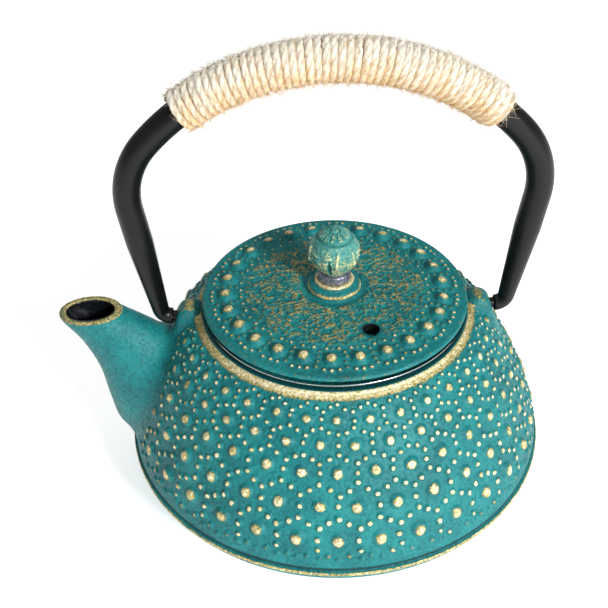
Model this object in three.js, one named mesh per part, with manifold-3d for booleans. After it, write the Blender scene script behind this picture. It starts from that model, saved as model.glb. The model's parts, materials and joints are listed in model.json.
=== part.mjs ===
// Cast iron teapot with a swinging bail handle, a lift-off lid and a stainless tea infuser.
// Millimetres, +Z up. The origin is the centre of the flat foot disc, the spout points along -X,
// and the bail swings about an axis parallel to X.
import * as THREE from "three";
import { mergeVertices } from "three/addons/utils/BufferGeometryUtils.js";
import Module from "manifold-3d";

const wasm = await Module();
wasm.setup();

// ---- driving dimensions ----
const RIDGE_RADIUS = 78; // widest part of the pot
const RIDGE_Z = 20.7; // underside of the ridge lip
const LIP_HEIGHT = 1.6;
const RIM_RADIUS = 48.2; // outside of the bead round the mouth
const RIM_Z = 76; // top of the bead
const BEAD = 1.8; // rounding of the bead
const MOUTH_RADIUS = 42;
const WALL = 3.2; // cast iron wall
const FOOT_RADIUS = 42;
const FOOT_HEIGHT = 1.5;
const FLOOR_Z = 4.8; // inside floor of the pot
const GAP = 0.3; // running clearance between separate pieces

const LID_RADIUS = 47;
const PIVOT_Z = 71.6; // axis on which the bail swings
const PIN_RADIUS = 1.9;
const EAR_INNER_X = 48;
const EAR_OUTER_X = 56.2;
const EAR_THICKNESS = 9;
const EAR_HOLE_DEPTH = 4.6;

const SPOUT_WALL = 2.5;
const MOUTH_Z = 75.7; // spout mouth, level with the rim

const TUBE_RADIUS = 4.6;
const TUBE_END_RADIUS = 2.9;
const TUBE_WALL = 0.7;
const GRIP_RADIUS = 7.2;

const INFUSER_RADIUS = 35.4; // outside of the basket's screen
const INFUSER_BOTTOM_Z = 27;
const SHEET = 0.6; // stainless sheet of the infuser

const KNOB_RADIUS = 9.1;
const KNOB_Z = 97; // centre of the knob's ball
const NECK_RADIUS = 5.8;
const POST_RADIUS = 2.8;

// ---- finishes ----
const finish = (color, roughness, metalness) =>
  new THREE.MeshStandardMaterial({ color, roughness, metalness });
const TEAL_IRON = finish(0x2f8f8c, 0.55, 0.3);
const BARE_IRON = finish(0x8a8790, 0.4, 0.9);
const BLACK_STEEL = finish(0x17181a, 0.45, 0.4);
const STAINLESS = finish(0xc9cbcd, 0.25, 1);
const JUTE = finish(0xd2b483, 0.95, 0);

// ---- helpers ----
const point = (x, y) => new THREE.Vector2(x, y);
const radians = THREE.MathUtils.degToRad;

// A closed three.js geometry as a manifold solid, and back.
function solid(geometry) {
  const bare = geometry.clone();
  bare.deleteAttribute("normal");
  bare.deleteAttribute("uv");
  const merged = mergeVertices(bare, 1e-4);
  return new wasm.Manifold(
    new wasm.Mesh({
      numProp: 3,
      vertProperties: merged.attributes.position.array,
      triVerts: new Uint32Array(merged.index.array),
    }),
  );
}

function geometryOf(body) {
  const mesh = body.getMesh();
  const geometry = new THREE.BufferGeometry();
  geometry.setAttribute("position", new THREE.BufferAttribute(mesh.vertProperties, 3));
  geometry.setIndex(new THREE.BufferAttribute(mesh.triVerts, 1));
  const flat = geometry.toNonIndexed();
  flat.computeVertexNormals();
  return flat;
}

// Points of an arc round (x, y), from one angle to the other in degrees, ends included.
function arc(x, y, radiusX, from, to, steps, radiusY = radiusX) {
  return Array.from({ length: steps + 1 }, (_, i) => {
    const angle = radians(from + ((to - from) * i) / steps);
    return point(x + radiusX * Math.cos(angle), y + radiusY * Math.sin(angle));
  });
}

// A profile of (radius, z) points, counter-clockwise, turned about the Z axis.
function turned(profile, segments) {
  return new THREE.LatheGeometry(profile, segments).rotateX(Math.PI / 2);
}

function ring(profile, segments) {
  return turned([...profile, profile[0]], segments);
}

// A closed tube through elliptical stations: each has a centre, a half-axis vector and a half-width vector.
function loft(stations, sides) {
  const steps = stations.length - 1;
  const bare = new THREE.CylinderGeometry(1, 1, 1, sides, steps);
  bare.deleteAttribute("normal");
  bare.deleteAttribute("uv");
  const geometry = mergeVertices(bare, 1e-5);
  const position = geometry.attributes.position;
  const placed = new THREE.Vector3();
  for (let i = 0; i < position.count; i += 1) {
    const station = stations[Math.round((position.getY(i) + 0.5) * steps)];
    placed.copy(station.centre);
    placed.addScaledVector(station.across, position.getX(i));
    placed.addScaledVector(station.sideways, position.getZ(i));
    position.setXYZ(i, placed.x, placed.y, placed.z);
  }
  return geometry;
}

// Round stations along a line of points in the XZ plane, with a radius at each.
function roundStations(line, radiusAt) {
  return line.map((at, i) => {
    const before = line[Math.max(i - 1, 0)];
    const after = line[Math.min(i + 1, line.length - 1)];
    const along = point(after.x - before.x, after.y - before.y).normalize();
    const radius = radiusAt(at, i);
    return {
      centre: new THREE.Vector3(at.x, 0, at.y),
      across: new THREE.Vector3(along.y * radius, 0, -along.x * radius),
      sideways: new THREE.Vector3(0, -radius, 0),
    };
  });
}

// A cylinder along the pivot axis, between two distances from the pot's axis, on one side of it.
function pivotRod(radius, near, far, side) {
  return new THREE.CylinderGeometry(radius, radius, far - near, 16)
    .rotateZ(-Math.PI / 2)
    .translate((side * (near + far)) / 2, 0, PIVOT_Z);
}

function rodZ(radius, fromZ, toZ, x, y, sides) {
  return new THREE.CylinderGeometry(radius, radius, toZ - fromZ, sides)
    .rotateX(Math.PI / 2)
    .translate(x, y, (fromZ + toZ) / 2);
}

const assembly = new THREE.Group();

function add(name, geometry, material) {
  const mesh = new THREE.Mesh(geometry, material);
  mesh.name = name;
  assembly.add(mesh);
}

// ---- pot: one casting of shell, spout and two ears ----
const POT_SEGMENTS = 56;
const SHOULDER_STEPS = 10;
const SHOULDER_LOW_RADIUS = 77;
const SHOULDER_LOW_Z = RIDGE_Z + LIP_HEIGHT + 0.7;
const SHOULDER_TOP_Z = RIM_Z - BEAD;
const SHOULDER_RISE = 1.27; // exponents of the shoulder's curve
const SHOULDER_BULGE = 1.36;

// The shoulder from the ridge up to the bead, as a superellipse-like curve.
function shoulder() {
  return Array.from({ length: SHOULDER_STEPS + 1 }, (_, i) => {
    const share = 1 - (1 - i / SHOULDER_STEPS) ** 1.5;
    const reach = (1 - share ** SHOULDER_RISE) ** (1 / SHOULDER_BULGE);
    const z = SHOULDER_LOW_Z + (SHOULDER_TOP_Z - SHOULDER_LOW_Z) * share;
    return point(RIM_RADIUS + (SHOULDER_LOW_RADIUS - RIM_RADIUS) * reach, z);
  });
}

// The same curve moved inwards, at right angles to itself.
function inset(line, distance) {
  return line.map((at, i) => {
    const before = line[Math.max(i - 1, 0)];
    const after = line[Math.min(i + 1, line.length - 1)];
    const along = point(after.x - before.x, after.y - before.y).normalize();
    return point(at.x - along.y * distance, at.y + along.x * distance);
  });
}

function potOutside() {
  const underX = FOOT_RADIUS + 2;
  const underZ = RIDGE_Z - 1;
  const under = arc(underX, underZ, RIDGE_RADIUS - 1 - underX, -90, 0, 7, underZ - FOOT_HEIGHT);
  const profile = [
    point(0, 0),
    point(FOOT_RADIUS, 0),
    ...under,
    point(RIDGE_RADIUS, RIDGE_Z),
    point(RIDGE_RADIUS, RIDGE_Z + LIP_HEIGHT),
    ...shoulder(),
    ...arc(RIM_RADIUS - BEAD, RIM_Z - BEAD, BEAD, 0, 90, 3).slice(1),
    point(0, RIM_Z),
  ];
  return solid(turned(profile, POT_SEGMENTS));
}

function potCavity() {
  const low = RIDGE_Z + 1;
  const walls = inset(shoulder(), WALL).filter((at) => at.x > MOUTH_RADIUS + 4);
  const profile = [
    point(0, FLOOR_Z),
    ...arc(FOOT_RADIUS, low, walls[0].x - FOOT_RADIUS, -90, 0, 6, low - FLOOR_Z),
    ...walls,
    point(MOUTH_RADIUS + 1.5, RIM_Z - WALL - 0.6),
    point(MOUTH_RADIUS, RIM_Z - WALL + 0.9),
    point(MOUTH_RADIUS, RIM_Z + 1),
    point(0, RIM_Z + 1),
  ];
  return solid(turned(profile, POT_SEGMENTS));
}

// The spout's upper and lower outline in the XZ plane, with its half-width, from inside the pot to the mouth.
const SPOUT_OUTLINE = [
  { upper: point(-55, 60), lower: point(-72, 20.5), width: 17 },
  { upper: point(-62, 65.2), lower: point(-82.3, 25), width: 14.5 },
  { upper: point(-66, 68.6), lower: point(-85.3, 37.5), width: 12 },
  { upper: point(-69.8, 71.4), lower: point(-87.1, 51), width: 9.8 },
  { upper: point(-73.2, 73.4), lower: point(-91.7, 64), width: 8.6 },
  { upper: point(-75.4, 74.6), lower: point(-97.7, 73.4), width: 8.1 },
  { upper: point(-76.2, MOUTH_Z), lower: point(-98.2, MOUTH_Z), width: 8.2 },
];

// Stations along the spout, its outlines smoothed, and everything drawn in by a wall thickness.
function spoutStations(steps, wallAt) {
  const curve = (pick) => new THREE.CatmullRomCurve3(SPOUT_OUTLINE.map(pick));
  const upper = curve((s) => new THREE.Vector3(s.upper.x, s.width, s.upper.y));
  const lower = curve((s) => new THREE.Vector3(s.lower.x, s.width, s.lower.y));
  return Array.from({ length: steps + 1 }, (_, i) => {
    const share = i / steps;
    const top = upper.getPoint(share);
    const bottom = lower.getPoint(share);
    const width = top.y;
    top.y = 0;
    bottom.y = 0;
    const wall = wallAt(share);
    const half = top.clone().sub(bottom).multiplyScalar(0.5);
    return {
      centre: top.clone().add(bottom).multiplyScalar(0.5),
      across: half.setLength(half.length() - wall * 1.1),
      sideways: new THREE.Vector3(0, -(width - wall), 0),
    };
  });
}

const SPOUT_STEPS = 12;

function spoutOutside() {
  return solid(loft(spoutStations(SPOUT_STEPS, () => 0), 24));
}

// The channel through the spout: it opens out of the mouth and into the pot.
function spoutChannel() {
  const stations = spoutStations(SPOUT_STEPS, (share) => SPOUT_WALL + 3 * (1 - share));
  const last = stations[stations.length - 1];
  const beyond = {
    centre: last.centre.clone().add(new THREE.Vector3(-1, 0, 2)),
    across: last.across,
    sideways: last.sideways,
  };
  return solid(loft([...stations, beyond], 18));
}

// One ear: a rounded block on the shoulder, with its outer face sloping outwards to the base. It is
// solid through the wall, as a small boss inside, so that its blind hole stays dry.
function ear(side) {
  const bevel = 1.2;
  const outline = new THREE.Shape([
    point(EAR_INNER_X + bevel, PIVOT_Z + 4.1),
    point(EAR_INNER_X + bevel, PIVOT_Z - 5),
    point(EAR_OUTER_X + 3.2, PIVOT_Z - 12),
    point(EAR_OUTER_X + 1, PIVOT_Z - 4),
    point(EAR_OUTER_X - bevel, PIVOT_Z + 0.6),
    point(EAR_OUTER_X - bevel - 0.8, PIVOT_Z + 3.4),
    point(EAR_OUTER_X - bevel - 2.4, PIVOT_Z + 4.1),
  ]);
  const block = new THREE.ExtrudeGeometry(outline, {
    depth: EAR_THICKNESS - 2 * bevel,
    bevelThickness: bevel,
    bevelSize: bevel,
    bevelSegments: 2,
  })
    .rotateX(Math.PI / 2)
    .translate(0, EAR_THICKNESS / 2 - bevel, 0);
  if (side < 0) block.rotateZ(Math.PI);
  return solid(block);
}

function earHole(side) {
  return solid(pivotRod(PIN_RADIUS + GAP, EAR_OUTER_X - EAR_HOLE_DEPTH, EAR_OUTER_X + 2, side));
}

function pot() {
  let body = potOutside().add(spoutOutside()).subtract(potCavity()).subtract(spoutChannel());
  for (const side of [-1, 1]) body = body.add(ear(side)).subtract(earHole(side));
  return geometryOf(body);
}

add("pot_body", pot(), TEAL_IRON);

// ---- infuser: collar that hangs on the rim, woven screen, foot band and base screen ----
const INFUSER_SEGMENTS = 48;
const FLANGE_Z = RIM_Z + 0.25;
const FLANGE_RADIUS = LID_RADIUS - 0.7;
const COLLAR_BOTTOM_Z = 65;

function infuserCollar() {
  const outside = INFUSER_RADIUS + GAP + SHEET;
  return ring(
    [
      point(outside - SHEET, COLLAR_BOTTOM_Z),
      point(outside, COLLAR_BOTTOM_Z),
      point(outside, FLANGE_Z - 0.6),
      point(outside + 0.6, FLANGE_Z),
      point(FLANGE_RADIUS, FLANGE_Z),
      point(FLANGE_RADIUS + 0.25, FLANGE_Z + SHEET / 2),
      point(FLANGE_RADIUS, FLANGE_Z + SHEET),
      point(outside, FLANGE_Z + SHEET),
      point(outside - SHEET, FLANGE_Z - 0.2),
    ],
    INFUSER_SEGMENTS,
  );
}

function infuserScreen() {
  return ring(
    [
      point(INFUSER_RADIUS - SHEET / 2, INFUSER_BOTTOM_Z + 1),
      point(INFUSER_RADIUS, INFUSER_BOTTOM_Z + 1),
      point(INFUSER_RADIUS, COLLAR_BOTTOM_Z + 5),
      point(INFUSER_RADIUS - SHEET / 2, COLLAR_BOTTOM_Z + 5),
    ],
    INFUSER_SEGMENTS,
  );
}

// A dish-edged band that closes the bottom of the basket round the base screen.
function infuserFootBand() {
  const outside = INFUSER_RADIUS + GAP + SHEET;
  return ring(
    [
      point(outside - 5, INFUSER_BOTTOM_Z),
      point(outside - 0.8, INFUSER_BOTTOM_Z),
      point(outside, INFUSER_BOTTOM_Z + 0.8),
      point(outside, INFUSER_BOTTOM_Z + 5),
      point(outside - SHEET, INFUSER_BOTTOM_Z + 5),
      point(outside - SHEET, INFUSER_BOTTOM_Z + SHEET),
      point(outside - 5, INFUSER_BOTTOM_Z + SHEET),
    ],
    INFUSER_SEGMENTS,
  );
}

function infuserBaseScreen() {
  const z = INFUSER_BOTTOM_Z + SHEET + GAP / 2;
  return new THREE.CylinderGeometry(INFUSER_RADIUS - 0.8, INFUSER_RADIUS - 0.8, SHEET / 2, INFUSER_SEGMENTS)
    .rotateX(Math.PI / 2)
    .translate(0, 0, z + SHEET / 4);
}

add("infuser_collar", infuserCollar(), STAINLESS);
add("infuser_screen", infuserScreen(), STAINLESS);
add("infuser_foot_band", infuserFootBand(), STAINLESS);
add("infuser_base_screen", infuserBaseScreen(), STAINLESS);

// ---- lid: a plate with a locating ring under it, a pedestal and a steam hole ----
const LID_SEGMENTS = 48;
const LID_BOTTOM_Z = FLANGE_Z + SHEET + 0.2;
const LID_EDGE_Z = LID_BOTTOM_Z + 2.9;
const LID_CROWN_Z = LID_EDGE_Z + 1.9;
const PEDESTAL_Z = 85.8;
const STEAM_HOLE = { radius: 2.6, reach: 27, angle: radians(-66.5) };

function lid() {
  const profile = [
    point(POST_RADIUS + GAP, LID_BOTTOM_Z - 0.5),
    point(8, LID_BOTTOM_Z - 0.5),
    point(9, LID_BOTTOM_Z + 0.5),
    point(31.2, LID_BOTTOM_Z + 0.5),
    point(31.4, LID_BOTTOM_Z - 1.2),
    point(33, LID_BOTTOM_Z - 1.2),
    point(33.4, LID_BOTTOM_Z),
    point(LID_RADIUS - 0.5, LID_BOTTOM_Z),
    point(LID_RADIUS, LID_BOTTOM_Z + 0.5),
    ...arc(LID_RADIUS - 1, LID_EDGE_Z - 1, 1, 0, 90, 3),
    point(34, LID_EDGE_Z + 0.7),
    point(12, LID_CROWN_Z),
    ...arc(8.4, LID_CROWN_Z + 0.9, 1, -60, 70, 4),
    point(7.2, PEDESTAL_Z - 1.4),
    point(6.7, PEDESTAL_Z - 0.2),
    point(6.3, PEDESTAL_Z),
    point(POST_RADIUS + GAP, PEDESTAL_Z),
  ];
  const hole = rodZ(
    STEAM_HOLE.radius,
    LID_BOTTOM_Z - 5,
    LID_CROWN_Z + 5,
    STEAM_HOLE.reach * Math.cos(STEAM_HOLE.angle),
    STEAM_HOLE.reach * Math.sin(STEAM_HOLE.angle),
    20,
  );
  return geometryOf(solid(ring(profile, LID_SEGMENTS)).subtract(solid(hole)));
}

add("lid", lid(), TEAL_IRON);

// ---- knob: a ball on a bare post that is riveted over a washer under the lid ----
const KNOB_SEGMENTS = 28;
const NECK_TOP_Z = KNOB_Z - 8;
const KNOB_BOTTOM_Z = NECK_TOP_Z + GAP;
const KNOB_TOP_Z = KNOB_Z + 8.7;
const KNOB_CROWN_ANGLE = 62; // the ball turns into the low crown here
const SOCKET_TOP_Z = KNOB_Z - 1;
const WASHER_Z = LID_BOTTOM_Z - 0.5 - GAP;
const WASHER_THICKNESS = 0.8;

function knob() {
  const socket = POST_RADIUS + GAP / 2;
  const bottomAngle = THREE.MathUtils.radToDeg(Math.asin((KNOB_BOTTOM_Z - KNOB_Z) / KNOB_RADIUS));
  return turned(
    [
      point(0, SOCKET_TOP_Z),
      point(socket, SOCKET_TOP_Z),
      point(socket, KNOB_BOTTOM_Z),
      ...arc(0, KNOB_Z, KNOB_RADIUS, bottomAngle, KNOB_CROWN_ANGLE, 10),
      point(0, KNOB_TOP_Z),
    ],
    KNOB_SEGMENTS,
  );
}

function knobPost() {
  return turned(
    [
      point(0, WASHER_Z - WASHER_THICKNESS - 1.9),
      point(2.6, WASHER_Z - WASHER_THICKNESS - 1.7),
      point(4.4, WASHER_Z - WASHER_THICKNESS - 0.2),
      point(POST_RADIUS, WASHER_Z - WASHER_THICKNESS - 0.2),
      point(POST_RADIUS, PEDESTAL_Z + 0.2),
      point(NECK_RADIUS, PEDESTAL_Z + 0.2),
      point(NECK_RADIUS - 0.2, NECK_TOP_Z),
      point(POST_RADIUS, NECK_TOP_Z),
      point(POST_RADIUS, SOCKET_TOP_Z - 2 * GAP),
      point(0, SOCKET_TOP_Z - GAP),
    ],
    KNOB_SEGMENTS,
  );
}

function knobWasher() {
  return ring(
    [
      point(POST_RADIUS + GAP / 2, WASHER_Z - WASHER_THICKNESS),
      point(6.4, WASHER_Z - WASHER_THICKNESS),
      point(6.4, WASHER_Z),
      point(POST_RADIUS + GAP / 2, WASHER_Z),
    ],
    KNOB_SEGMENTS,
  );
}

add("lid_knob", knob(), TEAL_IRON);
add("knob_post", knobPost(), BARE_IRON);
add("knob_washer", knobWasher(), STAINLESS);

// ---- bail: a bent tube with a pin in each end, and twine wound round its top ----
const TOP_ARC_RADIUS = 82;
const TOP_ARC_END = 47; // degrees from upright
const CORNER_RADIUS = 29.8;
const LEG_LEAN = 9; // degrees that each leg closes in towards its foot
const BAIL_HEIGHT = 94.8; // tube centre at the top, above the pivot
const TUBE_END_X = 58.4;
const END_BEND = 3.8;
const TUBE_SIDES = 12;

// Half of the tube's centre line, from the top to the end that faces the ear, in (x, z).
function bailHalf(steps) {
  const top = point(0, PIVOT_Z + BAIL_HEIGHT - TOP_ARC_RADIUS);
  const reach = (centre, radius, angle) =>
    point(centre.x + radius * Math.cos(radians(angle)), centre.y + radius * Math.sin(radians(angle)));
  const cornerStart = reach(top, TOP_ARC_RADIUS, 90 - TOP_ARC_END);
  const corner = reach(cornerStart, -CORNER_RADIUS, 90 - TOP_ARC_END);
  const bend = point(TUBE_END_X, PIVOT_Z + END_BEND);
  const last = arc(bend.x, bend.y, END_BEND, -LEG_LEAN, -90, 3);
  return [
    ...arc(top.x, top.y, TOP_ARC_RADIUS, 90, 90 - TOP_ARC_END, steps),
    ...arc(corner.x, corner.y, CORNER_RADIUS, 90 - TOP_ARC_END, -LEG_LEAN, 6).slice(1),
    ...[0.35, 0.62, 0.85].map((share) => reach(corner, CORNER_RADIUS, -LEG_LEAN).lerp(last[0], share)),
    ...last,
  ];
}

const mirrored = (line) => [...line.slice(1).map((at) => point(-at.x, at.y)).reverse(), ...line];

// Full radius on the arch, tapering over the lowest part of each leg.
function tubeRadius(at) {
  const share = THREE.MathUtils.clamp((at.y - PIVOT_Z - 2) / 30, 0, 1);
  return THREE.MathUtils.lerp(TUBE_END_RADIUS, TUBE_RADIUS, share);
}

function bailTube() {
  const line = mirrored(bailHalf(9));
  const pastEnd = TUBE_END_X - 1;
  const bore = [point(-pastEnd, PIVOT_Z), ...line.slice(1, -1), point(pastEnd, PIVOT_Z)];
  const outside = solid(loft(roundStations(line, tubeRadius), TUBE_SIDES));
  const inside = solid(loft(roundStations(bore, (at) => tubeRadius(at) - TUBE_WALL), TUBE_SIDES));
  return geometryOf(outside.subtract(inside));
}

function bailPin(side) {
  return pivotRod(PIN_RADIUS, EAR_OUTER_X - EAR_HOLE_DEPTH + GAP, TUBE_END_X + GAP, side);
}

// The wound twine as one sleeve of its outer shape, rounded off at both ends.
const GRIP_LEFT_END = 37; // degrees from upright
const GRIP_RIGHT_END = 40;

function gripWrap() {
  const centre = point(0, PIVOT_Z + BAIL_HEIGHT - TOP_ARC_RADIUS);
  const steps = 18;
  const left = 90 + GRIP_LEFT_END;
  const right = 90 - GRIP_RIGHT_END;
  const line = arc(centre.x, centre.y, TOP_ARC_RADIUS, left, right, steps);
  const bore = arc(centre.x, centre.y, TOP_ARC_RADIUS, left + 1, right - 1, steps);
  const nearEnd = (i) => Math.min(i, steps - i);
  const outside = roundStations(line, (_, i) => (nearEnd(i) === 0 ? GRIP_RADIUS - 1.5 : GRIP_RADIUS));
  const inside = roundStations(bore, () => TUBE_RADIUS + GAP);
  return geometryOf(solid(loft(outside, 16)).subtract(solid(loft(inside, 16))));
}

add("bail_tube", bailTube(), BLACK_STEEL);
add("bail_pin_left", bailPin(-1), BLACK_STEEL);
add("bail_pin_right", bailPin(1), BLACK_STEEL);
add("grip_twine", gripWrap(), JUTE);

export default assembly;
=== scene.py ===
import json
import math

import bpy
import numpy as np
from mathutils import Matrix, Vector


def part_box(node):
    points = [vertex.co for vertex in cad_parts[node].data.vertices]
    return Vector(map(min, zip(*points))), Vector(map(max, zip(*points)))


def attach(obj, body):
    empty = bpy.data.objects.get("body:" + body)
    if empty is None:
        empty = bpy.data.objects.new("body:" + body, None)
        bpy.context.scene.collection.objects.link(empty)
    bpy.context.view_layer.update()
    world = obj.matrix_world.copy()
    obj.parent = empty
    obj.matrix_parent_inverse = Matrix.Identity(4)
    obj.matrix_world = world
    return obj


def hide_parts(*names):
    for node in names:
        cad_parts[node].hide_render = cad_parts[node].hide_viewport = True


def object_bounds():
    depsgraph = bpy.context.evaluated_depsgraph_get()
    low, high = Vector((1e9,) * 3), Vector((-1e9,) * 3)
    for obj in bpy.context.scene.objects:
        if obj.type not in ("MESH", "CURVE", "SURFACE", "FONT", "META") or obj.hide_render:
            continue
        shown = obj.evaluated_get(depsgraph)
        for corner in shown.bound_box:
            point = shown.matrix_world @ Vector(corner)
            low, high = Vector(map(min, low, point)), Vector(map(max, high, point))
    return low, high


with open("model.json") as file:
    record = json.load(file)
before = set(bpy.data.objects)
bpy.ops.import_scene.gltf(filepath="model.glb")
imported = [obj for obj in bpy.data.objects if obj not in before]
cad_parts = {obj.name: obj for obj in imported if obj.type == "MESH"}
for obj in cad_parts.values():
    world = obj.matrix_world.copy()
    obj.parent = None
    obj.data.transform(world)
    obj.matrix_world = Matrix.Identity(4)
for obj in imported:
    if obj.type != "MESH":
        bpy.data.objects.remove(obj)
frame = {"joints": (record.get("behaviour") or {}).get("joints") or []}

# Lengths here are in millimetres, as in the teapot's drawings, and become metres where a mesh is made.
MM = 0.001
TAU = 2 * math.pi

cad_low, cad_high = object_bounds()


def box_mm(node):
    low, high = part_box(node)
    return np.array(low) / MM, np.array(high) / MM


POT_HIGH = box_mm("pot_body")[1]
LID_HIGH = box_mm("lid")[1]
KNOB_LOW, KNOB_HIGH = box_mm("lid_knob")
POST_LOW, POST_HIGH = box_mm("knob_post")
COLLAR_LOW, COLLAR_HIGH = box_mm("infuser_collar")
SCREEN_LOW, SCREEN_HIGH = box_mm("infuser_screen")
BAND_LOW, BAND_HIGH = box_mm("infuser_foot_band")
GRIP_HIGH = box_mm("grip_twine")[1]
PIVOT_Z = next(j for j in frame["joints"] if j["name"] == "bail_swing")["pos_m"][2] / MM

# Noise and small maths.


def smoothstep(low, high, value):
    share = np.clip((value - low) / (high - low), 0, 1)
    return share * share * (3 - 2 * share)


def mix(a, b, share):
    return a + (b - a) * share


def lattice(i, j, k, seed):
    h = (i * 374761393 + j * 668265263 + k * 2147483647 + seed * 144269) & 0xFFFFFFFF
    h = ((h ^ (h >> 13)) * 1274126177) & 0xFFFFFFFF
    return ((h ^ (h >> 16)) & 0xFFFFFF) / 0xFFFFFF


def noise(points, size, seed):
    """Smooth noise from -1 to 1 at points (N, 3), with features of about that size."""
    scaled = np.asarray(points) / size
    cell = np.floor(scaled).astype(np.int64)
    part = scaled - cell
    part = part * part * (3 - 2 * part)
    total = np.zeros(len(scaled))
    for corner in range(8):
        dx, dy, dz = corner & 1, (corner >> 1) & 1, corner >> 2
        weight = (
            (part[:, 0] if dx else 1 - part[:, 0])
            * (part[:, 1] if dy else 1 - part[:, 1])
            * (part[:, 2] if dz else 1 - part[:, 2])
        )
        total += weight * lattice(cell[:, 0] + dx, cell[:, 1] + dy, cell[:, 2] + dz, seed)
    return 2 * total - 1


def fractal(points, size, octaves, seed):
    total = sum(noise(points, size / 2**o, seed + o) / 2**o for o in range(octaves))
    return total / (2 - 2 ** (1 - octaves))


def cell_edges(points, size, seed):
    """How far flat points (N, 2) are from the border between random cells."""
    scaled = np.asarray(points) / size
    cell = np.floor(scaled).astype(np.int64)
    near = np.full(len(scaled), 9.0)
    second = np.full(len(scaled), 9.0)
    for dx in (-1, 0, 1):
        for dy in (-1, 0, 1):
            i, j = cell[:, 0] + dx, cell[:, 1] + dy
            x = i + lattice(i, j, 0, seed)
            y = j + lattice(i, j, 0, seed + 7)
            distance = np.hypot(x - scaled[:, 0], y - scaled[:, 1])
            closer = distance < near
            second = np.where(closer, near, np.minimum(second, distance))
            near = np.minimum(near, distance)
    return (second - near) * size


def arc(x, z, radius, start, end, steps, radius_z=None):
    angles = np.radians(np.linspace(start, end, steps + 1))
    return np.stack([x + radius * np.cos(angles), z + (radius_z or radius) * np.sin(angles)], 1)


BELLY_POWER = 1.33


def belly(x, z, radius, drop, end, steps):
    """A curve from the foot up to the ridge, flatter than an ellipse, so that the ridge overhangs it."""
    angles = np.radians(np.linspace(-90, end, steps + 1))
    out, down = (np.abs(wave(angles)) ** BELLY_POWER for wave in (np.cos, np.sin))
    return np.stack([x + radius * out, z - drop * down], 1)


def line(*points, steps=1):
    points = np.array(points, float)
    shares = np.linspace(0, 1, steps + 1)[:-1, None]
    parts = [mix(start, end, shares) for start, end in zip(points, points[1:])]
    return np.concatenate([*parts, points[-1:]])


def lengths_along(curve):
    """Length from a curve's start to each of its points."""
    return np.r_[0, np.cumsum(np.linalg.norm(np.diff(curve, axis=0), axis=1))]


def full_turn(count):
    """That many angles, evenly spaced round a circle."""
    return np.linspace(0, TAU, count, endpoint=False)


def from_axis(points):
    """Distance of points from the Z axis."""
    return np.hypot(points[:, 0], points[:, 1])


def unit(vectors):
    return vectors / np.maximum(np.linalg.norm(vectors, axis=-1, keepdims=True), 1e-12)


# Meshes.


def grid_faces(rows, columns):
    """Quads of a grid whose rows of vertices are closed rings."""
    i = np.arange(rows - 1)[:, None]
    j = np.arange(columns)[None, :]
    k = (j + 1) % columns
    low, high = i * columns, (i + 1) * columns
    return np.stack([low + j, low + k, high + k, high + j], -1).reshape(-1, 4)


def drop_unused(points, faces, gold):
    """Leaves out the points that no face of the array uses."""
    used = np.unique(faces)
    index = np.zeros(len(points), np.int64)
    index[used] = np.arange(len(used))
    return points[used], index[faces].tolist(), None if gold is None else gold[used]


def make_piece(name, points, faces, body, node, material, gold=None):
    """A smooth-shaded mesh object that rides on a body and stands for a CAD node."""
    if isinstance(faces, np.ndarray):
        points, faces, gold = drop_unused(points, faces, gold)
    mesh = bpy.data.meshes.new(name)
    mesh.from_pydata((points * MM).tolist(), [], faces)
    mesh.polygons.foreach_set("use_smooth", np.ones(len(mesh.polygons), bool))
    if gold is not None:
        layer = mesh.attributes.new("gold", "FLOAT", "POINT")
        layer.data.foreach_set("value", np.asarray(gold, np.float32))
    mesh.materials.append(material)
    mesh.validate()
    mesh.update()
    piece = bpy.data.objects.new(name, mesh)
    bpy.context.scene.collection.objects.link(piece)
    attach(piece, body)
    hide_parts(node)


def pot_piece(name, points, faces, material, gold=None):
    make_piece(name, points, faces, "pot", "pot_body", material, gold)


def turned_piece(name, profile, columns, body, node, material):
    points = turn(np.concatenate(profile), columns)
    make_piece(name, points, grid_faces(len(points) // columns, columns), body, node, material)


def turn(profile, columns):
    """Grid points of a profile of (radius, z) rows turned about the Z axis."""
    angles = full_turn(columns)
    r, z = profile[:, 0][:, None], profile[:, 1][:, None]
    x = r * np.cos(angles)
    y = r * np.sin(angles)
    return np.stack([x, y, np.broadcast_to(z, x.shape)], -1).reshape(-1, 3)


def sweep(centres, radii, sides, ups, along=None):
    """Grid points of a round tube along centres, with a radius and an up vector at each."""
    if along is None:
        along = unit(np.gradient(centres, axis=0))
    ups = unit(ups - along * (ups * along).sum(1, keepdims=True))
    across = np.cross(along, ups)
    angles = full_turn(sides)
    spokes = ups[:, None] * np.cos(angles)[:, None] + across[:, None] * np.sin(angles)[:, None]
    return (centres[:, None] + spokes * np.reshape(radii, (-1, 1, 1))).reshape(-1, 3)


# Materials.


def new_material(name):
    material = bpy.data.materials.new(name)
    material.use_nodes = True
    tree = material.node_tree
    return material, tree, tree.nodes["Principled BSDF"]


def srgb(red, green, blue):
    channels = [c / 255 for c in (red, green, blue)]
    return [c / 12.92 if c < 0.04045 else ((c + 0.055) / 1.055) ** 2.4 for c in channels] + [1]


def texture_noise(tree, size_mm, detail, distortion=0.0):
    """A noise texture on object coordinates, with features of that size."""
    coordinates = tree.nodes.new("ShaderNodeTexCoord")
    texture = tree.nodes.new("ShaderNodeTexNoise")
    texture.inputs["Scale"].default_value = 1 / (size_mm * MM)
    texture.inputs["Detail"].default_value = detail
    texture.inputs["Distortion"].default_value = distortion
    tree.links.new(coordinates.outputs["Object"], texture.inputs["Vector"])
    return texture.outputs["Fac"]


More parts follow.
